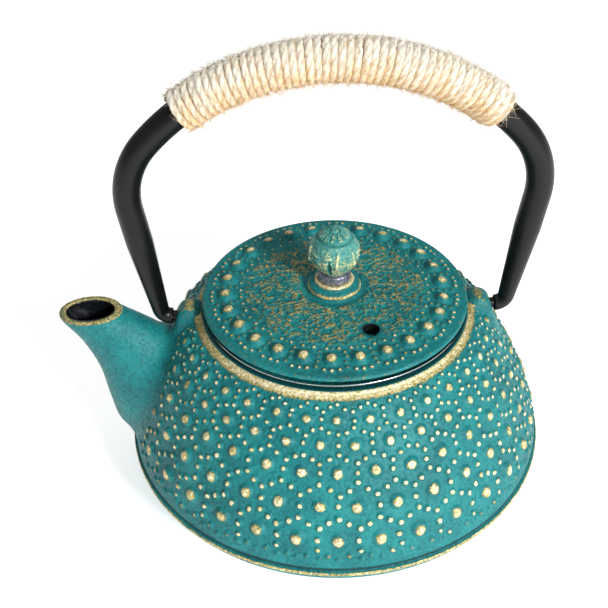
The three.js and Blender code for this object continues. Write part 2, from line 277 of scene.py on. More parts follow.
def map_range(tree, value, from_low, from_high, to_low=0.0, to_high=1.0, smooth=False):
    node = tree.nodes.new("ShaderNodeMapRange")
    if smooth:
        node.interpolation_type = "SMOOTHSTEP"
    tree.links.new(value, node.inputs["Value"])
    limits = {"From Min": from_low, "From Max": from_high, "To Min": to_low, "To Max": to_high}
    for socket, number in limits.items():
        node.inputs[socket].default_value = number
    return node.outputs["Result"]


def maths(tree, operation, a, b):
    node = tree.nodes.new("ShaderNodeMath")
    node.operation = operation
    for socket, value in zip(node.inputs, (a, b)):
        if isinstance(value, (int, float)):
            socket.default_value = value
        else:
            tree.links.new(value, socket)
    return node.outputs[0]


def ramp(tree, value, stops):
    node = tree.nodes.new("ShaderNodeValToRGB")
    tree.links.new(value, node.inputs["Fac"])
    elements = node.color_ramp.elements
    while len(elements) < len(stops):
        elements.new(0.5)
    for element, (position, colour) in zip(elements, stops):
        element.position = position
        element.color = colour
    return node.outputs["Color"]


def mix_colour(tree, share, a, b):
    node = tree.nodes.new("ShaderNodeMix")
    node.data_type = "RGBA"
    inputs = [s for s in node.inputs if s.name in ("A", "B") and s.type == "RGBA"]
    for socket, value in [(node.inputs["Factor"], share), *zip(inputs, (a, b))]:
        if isinstance(value, (int, float, list)):
            socket.default_value = value
        else:
            tree.links.new(value, socket)
    return next(s for s in node.outputs if s.type == "RGBA")


def add_bump(tree, shader, height, distance_mm, strength):
    node = tree.nodes.new("ShaderNodeBump")
    node.inputs["Distance"].default_value = distance_mm * MM
    node.inputs["Strength"].default_value = strength
    tree.links.new(height, node.inputs["Height"])
    tree.links.new(node.outputs["Normal"], shader.inputs["Normal"])


# Deepest teal for painted shade in hollows, then dark, middle and pale teal, then ochre, gold and cream of
# the brushed coat.
BODY_COLOURS = [
    srgb(2, 44, 50),
    srgb(4, 82, 86),
    srgb(10, 114, 116),
    srgb(34, 142, 140),
    srgb(108, 104, 46),
    srgb(188, 172, 112),
    srgb(238, 230, 196),
]
# The knob's paler coat in the same order, again with the deepest teal for painted shade.
KNOB_COLOURS = [
    srgb(2, 44, 50),
    srgb(26, 98, 98),
    srgb(62, 138, 132),
    srgb(116, 178, 164),
    srgb(164, 178, 130),
    srgb(206, 208, 162),
    srgb(240, 232, 196),
]


def painted_iron(name, colours):
    """Sand-cast iron in teal paint, with gold paint brushed over what the gold attribute marks, and painted
    shade that darkens the teal towards the deepest teal where the attribute is below zero.
    """
    deep, dark, middle, pale, ochre, gold, cream = colours
    material, tree, shader = new_material(name)
    attribute = tree.nodes.new("ShaderNodeAttribute")
    attribute.attribute_name = "gold"
    mark = attribute.outputs["Fac"]
    grain = texture_noise(tree, 1.25, detail=5)
    cloud = texture_noise(tree, 11, detail=4)
    patch = texture_noise(tree, 0.8, detail=4, distortion=0.3)
    teal = ramp(tree, cloud, [(0.1, dark), (0.5, middle), (0.95, pale)])
    speck = map_range(tree, grain, 0.54, 0.72, 0, 0.45)
    teal = mix_colour(tree, speck, teal, pale)
    pit = map_range(tree, grain, 0.46, 0.3, 0, 0.7)
    teal = mix_colour(tree, pit, teal, dark)
    # Painted shade: where the gold attribute is below zero, the teal is darkened towards the deepest teal.
    painted_shade_share = map_range(tree, mark, -0.5, 0, 0.85, 0)
    teal = mix_colour(tree, painted_shade_share, teal, deep)
    wobble = map_range(tree, patch, 0.25, 0.75, -0.3, 0.3)
    worn = maths(tree, "ADD", mark, wobble)
    share = map_range(tree, worn, 0.3, 0.62, smooth=True)
    brushed = ramp(tree, worn, [(0.42, ochre), (0.72, gold), (0.95, cream)])
    tree.links.new(mix_colour(tree, share, teal, brushed), shader.inputs["Base Color"])
    tree.links.new(map_range(tree, share, 0, 1, 0.0, 0.3), shader.inputs["Metallic"])
    tree.links.new(map_range(tree, grain, 0.3, 0.7, 0.62, 0.42), shader.inputs["Roughness"])
    shader.inputs["Specular IOR Level"].default_value = 0.32
    height = maths(tree, "ADD", grain, maths(tree, "MULTIPLY", patch, 0.5))
    add_bump(tree, shader, height, 0.42, 0.9)
    return material


def black_enamel():
    material, tree, shader = new_material("black_enamel")
    ripple = texture_noise(tree, 3.5, detail=2)
    fleck = texture_noise(tree, 0.6, detail=2)
    colour = ramp(tree, fleck, [(0.35, srgb(8, 9, 12)), (0.7, srgb(26, 29, 34))])
    tree.links.new(colour, shader.inputs["Base Color"])
    tree.links.new(map_range(tree, ripple, 0.3, 0.7, 0.1, 0.24), shader.inputs["Roughness"])
    add_bump(tree, shader, ripple, 0.25, 0.6)
    return material


def black_tube():
    material, tree, shader = new_material("satin_black_coating")
    orange_peel = texture_noise(tree, 0.8, detail=2)
    cloud = texture_noise(tree, 14, detail=3)
    colour = ramp(tree, cloud, [(0.3, srgb(5, 5, 6)), (0.7, srgb(12, 12, 12))])
    tree.links.new(colour, shader.inputs["Base Color"])
    tree.links.new(map_range(tree, cloud, 0.3, 0.7, 0.3, 0.4), shader.inputs["Roughness"])
    shader.inputs["Specular IOR Level"].default_value = 0.28
    add_bump(tree, shader, orange_peel, 0.03, 0.5)
    return material


def steel(name, light, dark, roughness, size_mm, bump_mm):
    """Bare metal with fine turning or rolling marks."""
    material, tree, shader = new_material(name)
    marks = texture_noise(tree, size_mm, detail=4)
    tree.links.new(ramp(tree, marks, [(0.3, dark), (0.65, light)]), shader.inputs["Base Color"])
    shader.inputs["Metallic"].default_value = 1
    worn = map_range(tree, marks, 0.3, 0.7, roughness * 1.25, roughness * 0.8)
    tree.links.new(worn, shader.inputs["Roughness"])
    add_bump(tree, shader, marks, bump_mm, 0.5)
    return material


def jute(name, pale, tan, shade):
    """Plant fibre in tan, with painted light from the attribute: a painted highlight on the top and outside
    of each strand, and painted shade where strands meet.
    """
    material, tree, shader = new_material(name)
    attribute = tree.nodes.new("ShaderNodeAttribute")
    attribute.attribute_name = "gold"
    fibre = texture_noise(tree, 0.5, detail=4, distortion=1.5)
    patch = texture_noise(tree, 6, detail=3)
    # The attribute carries painted light; fibre and patch noise add the twine's own uneven tone.
    painted_light_and_tone = attribute.outputs["Fac"]
    painted_light_and_tone = maths(tree, "ADD", painted_light_and_tone, map_range(tree, fibre, 0.25, 0.75, -0.3, 0.3))
    painted_light_and_tone = maths(tree, "ADD", painted_light_and_tone, map_range(tree, patch, 0.3, 0.7, -0.12, 0.12))
    colour = ramp(tree, painted_light_and_tone, [(0.05, shade), (0.45, tan), (0.85, pale)])
    tree.links.new(colour, shader.inputs["Base Color"])
    shader.inputs["Roughness"].default_value = 0.9
    shader.inputs["Sheen Weight"].default_value = 0.3
    shader.inputs["Sheen Roughness"].default_value = 0.5
    shader.inputs["Specular IOR Level"].default_value = 0.2
    add_bump(tree, shader, fibre, 0.25, 0.9)
    return material


PAINT = painted_iron("painted_cast_iron", BODY_COLOURS)
KNOB_PAINT = painted_iron("knob_paint", KNOB_COLOURS)
ENAMEL = black_enamel()
BLACK = black_tube()
STAINLESS = steel("stainless_sheet", srgb(226, 228, 230), srgb(176, 179, 183), 0.22, 0.35, 0.01)
WIRE = steel("stainless_wire", srgb(205, 207, 210), srgb(150, 153, 158), 0.3, 0.2, 0.01)
BARE_STEEL = steel("bare_turned_steel", srgb(214, 210, 232), srgb(104, 100, 124), 0.45, 1.0, 0.3)
# In both jute materials the pale colour is mostly a painted highlight, tan is the twine's own colour, and
# the darkest is painted shade where strands meet.
JUTE = jute("jute_strand", srgb(228, 222, 208), srgb(222, 184, 126), srgb(164, 124, 78))
FIBRE = jute("jute_fibre", srgb(232, 228, 216), srgb(226, 190, 134), srgb(176, 136, 88))

# Shape of the pot's casting.

RIDGE_RADIUS = POT_HIGH[1]
RIM_Z = COLLAR_HIGH[2] - 0.85
RIDGE_Z = 20.7
LIP_HEIGHT = 1.6
SHOULDER_LOW = np.array([RIDGE_RADIUS - 1, RIDGE_Z + LIP_HEIGHT + 0.7])
SHOULDER_TOP = np.array([48.2, RIM_Z - 1.8])
SHOULDER_RISE = 1.27
SHOULDER_BULGE = 1.36
WALL = 3.2
FOOT_RADIUS = 42
FLOOR_Z = 4.8
MOUTH_RADIUS = 42


def shoulder_radius(z):
    share = np.clip((z - SHOULDER_LOW[1]) / (SHOULDER_TOP[1] - SHOULDER_LOW[1]), 0, 1)
    reach = (1 - share**SHOULDER_RISE) ** (1 / SHOULDER_BULGE)
    return SHOULDER_TOP[0] + (SHOULDER_LOW[0] - SHOULDER_TOP[0]) * reach


def shoulder_line(steps):
    """The shoulder from the ridge to the bead, at even steps along the curve."""
    share = 1 - (1 - np.linspace(0, 1, 600)) ** 2
    z = mix(SHOULDER_LOW[1], SHOULDER_TOP[1], share)
    curve = np.stack([shoulder_radius(z), z], 1)
    length = lengths_along(curve)
    even = np.linspace(0, length[-1], steps + 1)
    return np.stack([np.interp(even, length, curve[:, 0]), np.interp(even, length, curve[:, 1])], 1)


SHOULDER = shoulder_line(110)


def shoulder_distance(points):
    """Signed distance, near the surface, from points to the smooth shoulder and bead."""
    radius = from_axis(points)
    z = np.clip(points[:, 2], SHOULDER_LOW[1] - 4, SHOULDER_TOP[1] - 0.4)
    step = 0.3
    slope = (shoulder_radius(z + step) - shoulder_radius(z - step)) / (2 * step)
    across = (radius - shoulder_radius(z)) / np.sqrt(1 + slope**2)
    above = points[:, 2] - z
    return np.where(above > 0, np.hypot(np.maximum(across, 0), above), across)


# The spout's upper and lower outline in the XZ plane with its half-width, from inside the pot to the mouth.
MOUTH_Z = RIM_Z - 0.3
SPOUT_UPPER = np.array(
    [(-55, 60), (-62, 65.2), (-66, 68.6), (-69.8, 71.4), (-73.2, 73.4), (-75.4, 74.6), (-76.2, MOUTH_Z)]
)
SPOUT_LOWER = np.array(
    [(-72, 20.5), (-82.3, 25), (-85.3, 37.5), (-87.1, 51), (-91.7, 64), (-97.6, 73.4), (-98.05, MOUTH_Z)]
)
SPOUT_WIDTH = np.array([17, 14.5, 12, 9.8, 8.6, 8.1, 8.2])
SPOUT_WALL = 2.2


def spline(values, share):
    """Catmull-Rom spline through rows of values, at shares from 0 to 1."""
    values = np.asarray(values, float).reshape(len(values), -1)
    padded = np.concatenate([2 * values[:1] - values[1:2], values, 2 * values[-1:] - values[-2:-1]])
    place = np.clip(np.asarray(share), 0, 1) * (len(values) - 1)
    i = np.minimum(place.astype(int), len(values) - 2)
    t = (place - i)[:, None]
    a, b, c, d = (padded[i + k] for k in range(4))
    return 0.5 * (2 * b + (c - a) * t + (2 * a - 5 * b + 4 * c - d) * t**2 + (3 * b - a - 3 * c + d) * t**3)


def spout_stations(share, wall=0.0):
    """Centre, half-axis and half-width of the spout's elliptical sections, drawn in by a wall."""
    upper, lower = spline(SPOUT_UPPER, share), spline(SPOUT_LOWER, share)
    width = spline(SPOUT_WIDTH, share)[:, 0]
    half = (upper - lower) / 2
    length = np.linalg.norm(half, axis=1, keepdims=True)
    wall = np.broadcast_to(wall, np.shape(share))
    return (upper + lower) / 2, half / length, length[:, 0] - wall * 1.1, width - wall


SAMPLE_SHARES = np.linspace(0, 1, 90)
SAMPLE_CENTRE, SAMPLE_ACROSS, SAMPLE_LENGTH, SAMPLE_WIDTH = spout_stations(SAMPLE_SHARES)


def spout_distance(points):
    """Signed distance, near the surface, from points to the spout's outside."""
    flat = points[:, [0, 2]]
    offset = flat[:, None] - SAMPLE_CENTRE[None]
    side = offset[..., 0] * SAMPLE_ACROSS[None, :, 1] - offset[..., 1] * SAMPLE_ACROSS[None, :, 0]
    change = (side[:, :-1] >= 0) != (side[:, 1:] >= 0)
    first = np.argmax(change, axis=1)
    found = change.any(axis=1)
    nearest = np.argmin(np.abs(side), axis=1)
    i = np.where(found, first, np.minimum(nearest, len(SAMPLE_SHARES) - 2))
    rows = np.arange(len(points))
    a, b = side[rows, i], side[rows, i + 1]
    t = np.where(found, a / np.where(a == b, 1, a - b), (nearest > i).astype(float))
    centre = mix(SAMPLE_CENTRE[i], SAMPLE_CENTRE[i + 1], t[:, None])
    across = unit(mix(SAMPLE_ACROSS[i], SAMPLE_ACROSS[i + 1], t[:, None]))
    length = mix(SAMPLE_LENGTH[i], SAMPLE_LENGTH[i + 1], t)
    width = mix(SAMPLE_WIDTH[i], SAMPLE_WIDTH[i + 1], t)
    out = ((flat - centre) * across).sum(1)
    y = points[:, 1]
    rho = np.sqrt((out / length) ** 2 + (y / width) ** 2)
    distance = (rho - 1) * np.hypot(out, y) / np.maximum(rho, 1e-6)
    beyond = np.linalg.norm(flat - centre - across * out[:, None], axis=1)
    return np.where(found, distance, np.hypot(np.maximum(distance, 0), beyond))


# Each ear is a rounded lug whose outer face slopes outwards to its base.
EAR_TOP_Z = POT_HIGH[2] - 0.05
EAR_ROUND = 2.3
EAR_CORNER = 5.5
EAR_HALF_THICKNESS = 4.5
EAR_INNER_X = 48.4
EAR_PLANES = np.array(
    [
        (0, 1, EAR_TOP_Z),
        (-1, 0, -EAR_INNER_X),
        (0.982, 0.189, 0.982 * 56.1 + 0.189 * (EAR_TOP_Z - 2)),
        (0, -1, -(PIVOT_Z - 13)),
    ]
)


def nearest_ear(points):
    return np.minimum(ear_distance(points, -1), ear_distance(points, 1))


def ear_distance(points, side):
    x, z = points[:, 0] * side, points[:, 2]
    flat = np.full(len(points), -99.0)
    for across, up, reach in EAR_PLANES:
        flat = -soft_union(-flat, reach - EAR_ROUND - across * x - up * z, EAR_CORNER)
    thick = np.abs(points[:, 1]) - EAR_HALF_THICKNESS + EAR_ROUND
    inside = np.minimum(np.maximum(flat, thick), 0)
    return np.hypot(np.maximum(flat, 0), np.maximum(thick, 0)) + inside - EAR_ROUND


def soft_union(a, b, width):
    near = np.maximum(width - np.abs(a - b), 0) / width
    return np.minimum(a, b) - near * near * width / 4


SPOUT_BLEND = 7
EAR_BLEND = 4.5


def casting_distance(points):
    """Signed distance to the shoulder, spout and ears as one casting with soft fillets."""
    total = soft_union(shoulder_distance(points), spout_distance(points), SPOUT_BLEND)
    for side in (-1, 1):
        total = soft_union(total, ear_distance(points, side), EAR_BLEND)
    return total


def gradient(distance, points):
    step = 0.05
    parts = []
    for axis in range(3):
        offset = np.zeros(3)
        offset[axis] = step
        parts.append(distance(points + offset) - distance(points - offset))
    return unit(np.stack(parts, 1))


def settle(points, rounds):
    """Moves points along the gradient onto the casting's surface."""
    points = points.copy()
    for _ in range(rounds):
        away = casting_distance(points)
        points -= gradient(casting_distance, points) * np.clip(away, -3, 3)[:, None]
    return points


def near_features(points):
    """Which points are close enough to the spout or an ear for a fillet to reach them."""
    radius = from_axis(points)
    by_spout = (points[:, 0] < -38) & (np.abs(points[:, 1]) < 38) & (radius > 44)
    by_ear = (np.abs(points[:, 0]) > 42) & (np.abs(points[:, 1]) < 14)
    return (by_spout | by_ear) & (points[:, 2] > RIDGE_Z + LIP_HEIGHT + 0.2)


def keep_faces(faces, keep):
    return faces[keep[faces].any(axis=1)]


# The pot.
POT_COLUMNS = 480
ENAMEL_COLUMNS = 200
SANDINESS = 0.12
FILLET_ROUNDS = 6
OVERLAP = 1.2
BURIED_DEPTH = 4


def pot_outside():
    outline = [(48.2, 1.8), (47.9, 1.35), (47.2, 1.08), (46.2, 1.0), (45.2, 0.85), (44.4, 0)]
    bead = spline([(radius, RIM_Z - drop) for radius, drop in outline], np.linspace(0, 1, 16))
    ridge_top = RIDGE_Z + LIP_HEIGHT
    return np.concatenate(
        [
            line((0.01, 0), (FOOT_RADIUS - 0.8, 0), steps=8)[:-1],
            arc(FOOT_RADIUS - 0.8, 0.8, 0.8, -90, 0, 4),
            arc(FOOT_RADIUS + 0.7, 0.9, 0.7, 180, 90, 3)[1:],
            belly(FOOT_RADIUS + 2, RIDGE_Z - 1, RIDGE_RADIUS - FOOT_RADIUS - 3, RIDGE_Z - 2.5, -2, 34)[1:],
            arc(RIDGE_RADIUS - 0.6, RIDGE_Z + 0.6, 0.6, -80, 0, 4),
            arc(RIDGE_RADIUS - 0.6, ridge_top - 0.6, 0.6, 0, 80, 4),
            line((RIDGE_RADIUS - 1.0, ridge_top - 0.1), (RIDGE_RADIUS - 1.25, ridge_top + 0.3)),
            SHOULDER[1:],
            bead[1:],
            line((44.0, RIM_Z), (MOUTH_RADIUS + 0.8, RIM_Z), steps=2),
            arc(MOUTH_RADIUS + 0.8, RIM_Z - 0.8, 0.8, 90, 180, 4)[1:],
        ]
    )


def pot_inside():
    wall = SHOULDER[::6]
    along = unit(np.gradient(wall, axis=0))
    inner = wall - np.stack([along[:, 1], -along[:, 0]], 1) * WALL
    inner = inner[inner[:, 0] > MOUTH_RADIUS + 4]
    low = RIDGE_Z + 1
    return np.concatenate(
        [
            line((0.01, FLOOR_Z), (FOOT_RADIUS, FLOOR_Z), steps=6)[:-1],
            belly(FOOT_RADIUS, low, inner[0, 0] - FOOT_RADIUS, low - FLOOR_Z, 0, 14),
            inner[1:],
            line(
                (MOUTH_RADIUS + 1.5, RIM_Z - WALL - 0.6),
                (MOUTH_RADIUS, RIM_Z - WALL + 0.9),
                (MOUTH_RADIUS, RIM_Z - 1.4),
                steps=2,
            ),
        ]
    )


def shell_gold_and_painted_light(points):
    """Where the brush left gold on the shell: bead, ridge lip, ear tops, and a haze where parts blend; also
    painted shade under the lid's edge and just above the ridge lip, and a painted highlight that makes the
    bead creamier at the front, towards the key light.
    """
    radius = from_axis(points)
    z = points[:, 2]
    wave = fractal(points, 6, 2, seed=3)
    lit_front = 0.5 - 0.5 * points[:, 1] / np.maximum(radius, 1)
    spout = spout_distance(points)
    ears = nearest_ear(points)
    on_ear = smoothstep(1.6, 0.6, ears)
    bead = 0.28 * smoothstep(RIM_Z - 6.5, RIM_Z - 3.2, z) * (1 + 0.3 * wave)
    # Painted highlight: the upper bead is creamier on the front, the side that faces the key light.
    bead += smoothstep(RIM_Z - 3.5, RIM_Z - 1.9, z) * (0.16 + 0.42 * lit_front)
    bead *= smoothstep(51.6, 49.6, radius) * (1 - on_ear)
    # Painted shade on the rim's top under the lid's edge.
    painted_flange_shade = -0.5 * smoothstep(47.4, 46.8, radius)
    lip = smoothstep(RIDGE_RADIUS - 0.6, RIDGE_RADIUS - 0.15, radius) * (0.66 + 0.2 * wave)
    lip *= smoothstep(0.3, 1.5, spout) * smoothstep(SHOULDER_LOW[1] + 0.3, RIDGE_Z + LIP_HEIGHT, z)
    above_lip = z - RIDGE_Z - LIP_HEIGHT
    # Painted shade in the groove just above the ridge lip.
    lip -= 0.5 * smoothstep(-0.1, 0.3, above_lip) * (z < SHOULDER_LOW[1] + 0.6)
    haze = 0.17 * smoothstep(9, 1, spout) * smoothstep(24, 40, z) * (spout > -4)
    haze = np.maximum(haze, 0.2 * smoothstep(8, 1, ears))
    tops = on_ear * smoothstep(EAR_TOP_Z - 1.5, EAR_TOP_Z - 0.1, z) * (0.55 + 0.15 * wave)
    edge = on_ear * smoothstep(0.25, 0.75, np.abs(points[:, 1]) / EAR_HALF_THICKNESS) * 0.3
    edge *= smoothstep(EAR_TOP_Z - 5, EAR_TOP_Z - 2, z)
    total = np.maximum.reduce([lip, haze, tops, bead, edge])
    total = np.where((radius < 47.4) & (z > RIM_Z - 3), painted_flange_shade, total)
    return np.where(z < SHOULDER_LOW[1] + 0.6, np.where(z < RIDGE_Z, np.minimum(lip, 0.45), lip), total)


def sand_waves(points):
    """Low unevenness of a sand casting, as a length along the normal."""
    return SANDINESS * fractal(points, 13, 3, seed=21)


def build_shell():
    profile = pot_outside()
    points = turn(profile, POT_COLUMNS)
    faces = grid_faces(len(profile), POT_COLUMNS)
    near = near_features(points)
    spout = np.full(len(points), 99.0)
    spout[near] = spout_distance(points[near])
    settled = near & (spout > -BURIED_DEPTH)
    buried = near & ~settled
    points[settled] = settle(points[settled], FILLET_ROUNDS)
    a = shoulder_distance(points[near])
    b = np.minimum(spout_distance(points[near]), nearest_ear(points[near]))
    keep = np.ones(len(points), bool)
    keep[near] = a - b < OVERLAP
    keep[buried] = False
    shoulder_part = (points[:, 2] > RIDGE_Z + LIP_HEIGHT + 1) & (points[:, 2] < RIM_Z - 3)
    radial = unit(points * (1, 1, 0.6))
    points += radial * (sand_waves(points) * shoulder_part)[:, None]
    pot_piece("pot_shell", points, keep_faces(faces, keep), PAINT, shell_gold_and_painted_light(points))

    profile = pot_inside()
    points = turn(profile, ENAMEL_COLUMNS)
    faces = grid_faces(len(profile), ENAMEL_COLUMNS)[:, ::-1]
    open_spout = spout_distance(points) < -SPOUT_WALL - 1.5
    faces = faces[~open_spout[faces].all(axis=1)]
    pot_piece("pot_enamel", points, faces, ENAMEL)


def ellipse_rows(stations, columns, lift=0.0):
    """Grid points round elliptical sections in planes that hold the Y axis."""
    centre, across, length, width = stations
    angles = full_turn(columns)
    out = length[:, None] * np.cos(angles)
    x = centre[:, :1] + across[:, :1] * out
    z = centre[:, 1:] + across[:, 1:] * out + np.reshape(lift, (-1, 1))
    y = -width[:, None] * np.sin(angles)
    return np.stack([x, y, z], -1).reshape(-1, 3)


def build_spout():
    columns = 128
    lip_height = 0.9
    outer_share = np.linspace(0, 0.985, 96)
    outer = ellipse_rows(spout_stations(outer_share), columns)
    buried = (shoulder_distance(outer) < -BURIED_DEPTH) | (outer[:, 2] < RIDGE_Z + 1.2)
    outer[~buried] = settle(outer[~buried], FILLET_ROUNDS)
    keep_outer = (spout_distance(outer) - shoulder_distance(outer) < OVERLAP) & ~buried

    turns = np.radians(np.linspace(0, 180, 13))[1:-1]
    last = spout_stations(np.ones(len(turns)), SPOUT_WALL * (1 - np.cos(turns)) / 2)
    lip = ellipse_rows(last, columns, lip_height * (np.sin(turns) - 1))
    inner_share = np.linspace(0.985, 0.12, 40)
    inner = ellipse_rows(spout_stations(inner_share, SPOUT_WALL + 2.4 * (1 - inner_share)), columns)

    points = np.concatenate([outer, lip])
    rows = len(points) // columns
    keep = np.ones(len(points), bool)
    keep[: len(outer)] = keep_outer
    gold = shell_gold_and_painted_light(points)
    height = points[:, 2] - MOUTH_Z
    at_mouth = points[:, 0] < -74
    wave = fractal(points, 4, 2, seed=8)
    gold = np.where(at_mouth, smoothstep(-1.3 + 0.2 * wave, -0.5 + 0.2 * wave, height) * 0.62, gold)
    gold[len(outer) :] = 0.6 + 0.08 * wave[len(outer) :]
    pot_piece("pot_spout", points, keep_faces(grid_faces(rows, columns), keep), PAINT, gold)
    inner = np.concatenate([points[-columns:], inner])
    pot_piece("spout_enamel", inner, grid_faces(len(inner) // columns, columns), ENAMEL)


def build_ear(side, name):
    """The lug as a ball of rays from its middle, settled onto the casting's surface."""
    rows, columns = 72, 96
    polar = np.linspace(0.02, math.pi - 0.02, rows)
    rays = turn(np.column_stack([np.sin(polar), np.cos(polar)]), columns)
    middle = np.array([side * 52.4, 0, PIVOT_Z - 2])
    near, far = np.zeros(len(rays)), np.full(len(rays), 30.0)
    for _ in range(24):
        half = (near + far) / 2
        inside = ear_distance(middle + rays * half[:, None], side) < 0
        near, far = np.where(inside, half, near), np.where(inside, far, half)
    points = middle + rays * near[:, None]
    shoulder = shoulder_distance(points)
    deep = shoulder < -2.5
    points[~deep] = settle(points[~deep], FILLET_ROUNDS)
    keep = ~deep & (ear_distance(points, side) - shoulder_distance(points) < 1.0)
    faces = grid_faces(rows, columns)[:, ::-1]
    pot_piece(name, points, keep_faces(faces, keep), PAINT, shell_gold_and_painted_light(points))


# Studs.


def stud_disc(rings, segments):
    """Unit disc: rings of points from the middle out, and its faces as quads round a small cap."""
    radii = np.linspace(0.04, 1, rings)
    angles = full_turn(segments)
    flat = np.stack([radii[:, None] * np.cos(angles), radii[:, None] * np.sin(angles)], -1).reshape(-1, 2)
    faces = [*grid_faces(rings, segments)[:, ::-1].tolist(), list(range(segments))]
    return flat, np.repeat(radii, segments), faces


def dome(radii, roundness):
    return (1 - np.clip(radii, 0, 1) ** 2) ** roundness


def studs(centres, normals, base, height, cap, rings, segments, seed, gold_level):
    """Low domes on a surface: points, faces and gold, each dome slightly different from the next. The gold
    is richer on the side that faces the key light, as painted light, and a thin ring of painted shade lies
    round each dome's foot.
    """
    flat, radii, disc_faces = stud_disc(rings, segments)
    rng = np.random.default_rng(seed)
    all_points, all_faces, all_gold = [], [], []
    count = len(centres)
    key_light_facing = unit(centres * (1, 1, 0)) @ KEY_LIGHT_SIDE
    base = np.broadcast_to(base, count) * rng.uniform(0.93, 1.07, count)
    height = np.broadcast_to(height, count) * rng.uniform(0.88, 1.12, count)
    cap = np.broadcast_to(cap, count)
    # Painted light: domes on the side that faces the key light get more and creamier gold.
    level = gold_level * (0.86 + 0.12 * key_light_facing) * rng.uniform(0.88, 1.06, count)
    across = unit(np.cross(normals, (0.13, 0.2, 0.97)))
    along = np.cross(normals, across)
    for n in range(count):
        squeeze = 1 + rng.uniform(-0.07, 0.07)
        x, y = flat[:, 0] * base[n] * squeeze, flat[:, 1] * base[n] / squeeze
        points = centres[n] + across[n] * x[:, None] + along[n] * y[:, None]
        all_points.append(points)
        start = n * len(flat)
        all_faces.extend([[start + v for v in face] for face in disc_faces])
        lean = rng.uniform(-0.14, 0.14, 2)
        reach = np.hypot(flat[:, 0] - lean[0], flat[:, 1] - lean[1]) * base[n] / cap[n]
        # Painted shade: a thin dark ring round each dome's foot.
        rim = smoothstep(0.78, 0.95, radii) * smoothstep(1.0, 0.98, radii)
        all_gold.append(level[n] * (1 - smoothstep(0.5, 1.2, reach)) - 0.1 * rim)
    points = np.concatenate(all_points)
    points, out = casting_surface(points)
    rise = np.repeat(height, len(flat)) * np.tile(dome(radii, 1.35), count)
    rise -= 0.05
    lump = 1 + 0.16 * noise(points, 1.2, seed)
    return points + out * (rise * lump)[:, None], all_faces, np.concatenate(all_gold)


def casting_surface(points):
    """Points settled on the casting, and the outward normals there."""
    near = near_features(points)
    radius = from_axis(points)
    z = points[:, 2]
    slope = (shoulder_radius(z + 0.3) - shoulder_radius(z - 0.3)) / 0.6
    out = unit(np.stack([points[:, 0] / radius, points[:, 1] / radius, -slope], 1))
    moved = points - out * shoulder_distance(points)[:, None]
    if near.any():
        moved[near] = settle(points[near], 5)
        out[near] = gradient(casting_distance, moved[near])
    return moved + out * sand_waves(moved)[:, None], out


# Rows of large studs: height on the shoulder, and how wide the gold cap of each is.
STUD_ROWS = [(69.25, 2.8), (63.0, 3.1), (55.2, 3.5), (45.1, 3.8), (34.3, 4.2)]
STUDS_PER_ROW = 34
# Direction of the key light along the ground, used for painted light on the studs.
KEY_LIGHT_SIDE = (0.5, -0.86, 0)
FRONT_STUD = math.radians(-92.7)


# Lengths along the shoulder's curve are measured downwards from the bead.
DOWNWARDS_Z = SHOULDER[::-1, 1]
DOWNWARDS_LENGTH = lengths_along(SHOULDER[::-1])


def stud_field():
    """Places of the large studs and of the small dots that ring them as a net of hexagons."""
    sector = TAU / STUDS_PER_ROW
    lengths = [float(np.interp(-z, -DOWNWARDS_Z, DOWNWARDS_LENGTH)) for z, _ in STUD_ROWS]
    large, small = [], []
    for row, (length, (_, cap)) in enumerate(zip(lengths, STUD_ROWS)):
        shift = 0.5 * (row % 2)
        step_up = length - lengths[row - 1] if row else lengths[1] - lengths[0] + 0.6
        step_down = lengths[row + 1] - length if row + 1 < len(lengths) else step_up
        size = mix(1.45, 2.15, row / 4)
        for n in range(STUDS_PER_ROW):
            large.append((n + shift, length, cap))
            small.append((n + shift + 0.5, length, size))
            below = [(0.0, 2 / 3), (0.25, 1 / 2), (0.5, 1 / 3), (0.75, 1 / 2)]
            if row + 1 < len(lengths):
                small.extend((n + shift + a, length + step_down * s, size * 1.05) for a, s in below)
            else:
                last = [(0.5, 0.34), (0.5, 0.62), (0.25, 0.52), (0.75, 0.52), (0.0, 0.64)]
                small.extend((n + shift + a, length + step_down * s, size * 0.8) for a, s in last)
            if row == 0:
                above = [(0.0, -2 / 3), (0.25, -1 / 2), (0.5, -1 / 3), (0.75, -1 / 2)]
                small.extend((n + shift + a, length + step_up * 0.86 * s, size * 0.9) for a, s in above)
    return [[(FRONT_STUD + place * sector, *rest) for place, *rest in net] for net in (large, small)]


def place_studs(entries, seed, jitter):
    entries = np.array(entries)
    rng = np.random.default_rng(seed)
    length = entries[:, 1] + rng.normal(0, jitter, len(entries))
    z = np.interp(length, DOWNWARDS_LENGTH, DOWNWARDS_Z)
    angle = entries[:, 0] + rng.normal(0, jitter, len(entries)) / shoulder_radius(z)
    radius = shoulder_radius(z)
    points = np.stack([radius * np.cos(angle), radius * np.sin(angle), z], 1)
    points, normals = casting_surface(points)
    spout = spout_distance(points)
    ears = nearest_ear(points)
    fade = smoothstep(1.5, 9, spout) * smoothstep(1.2, 4, ears)
    fade *= smoothstep(SHOULDER_LOW[1] + 0.5, SHOULDER_LOW[1] + 6, points[:, 2])
    keep = fade > 0.12
    return points[keep], normals[keep], entries[keep, 2], fade[keep]


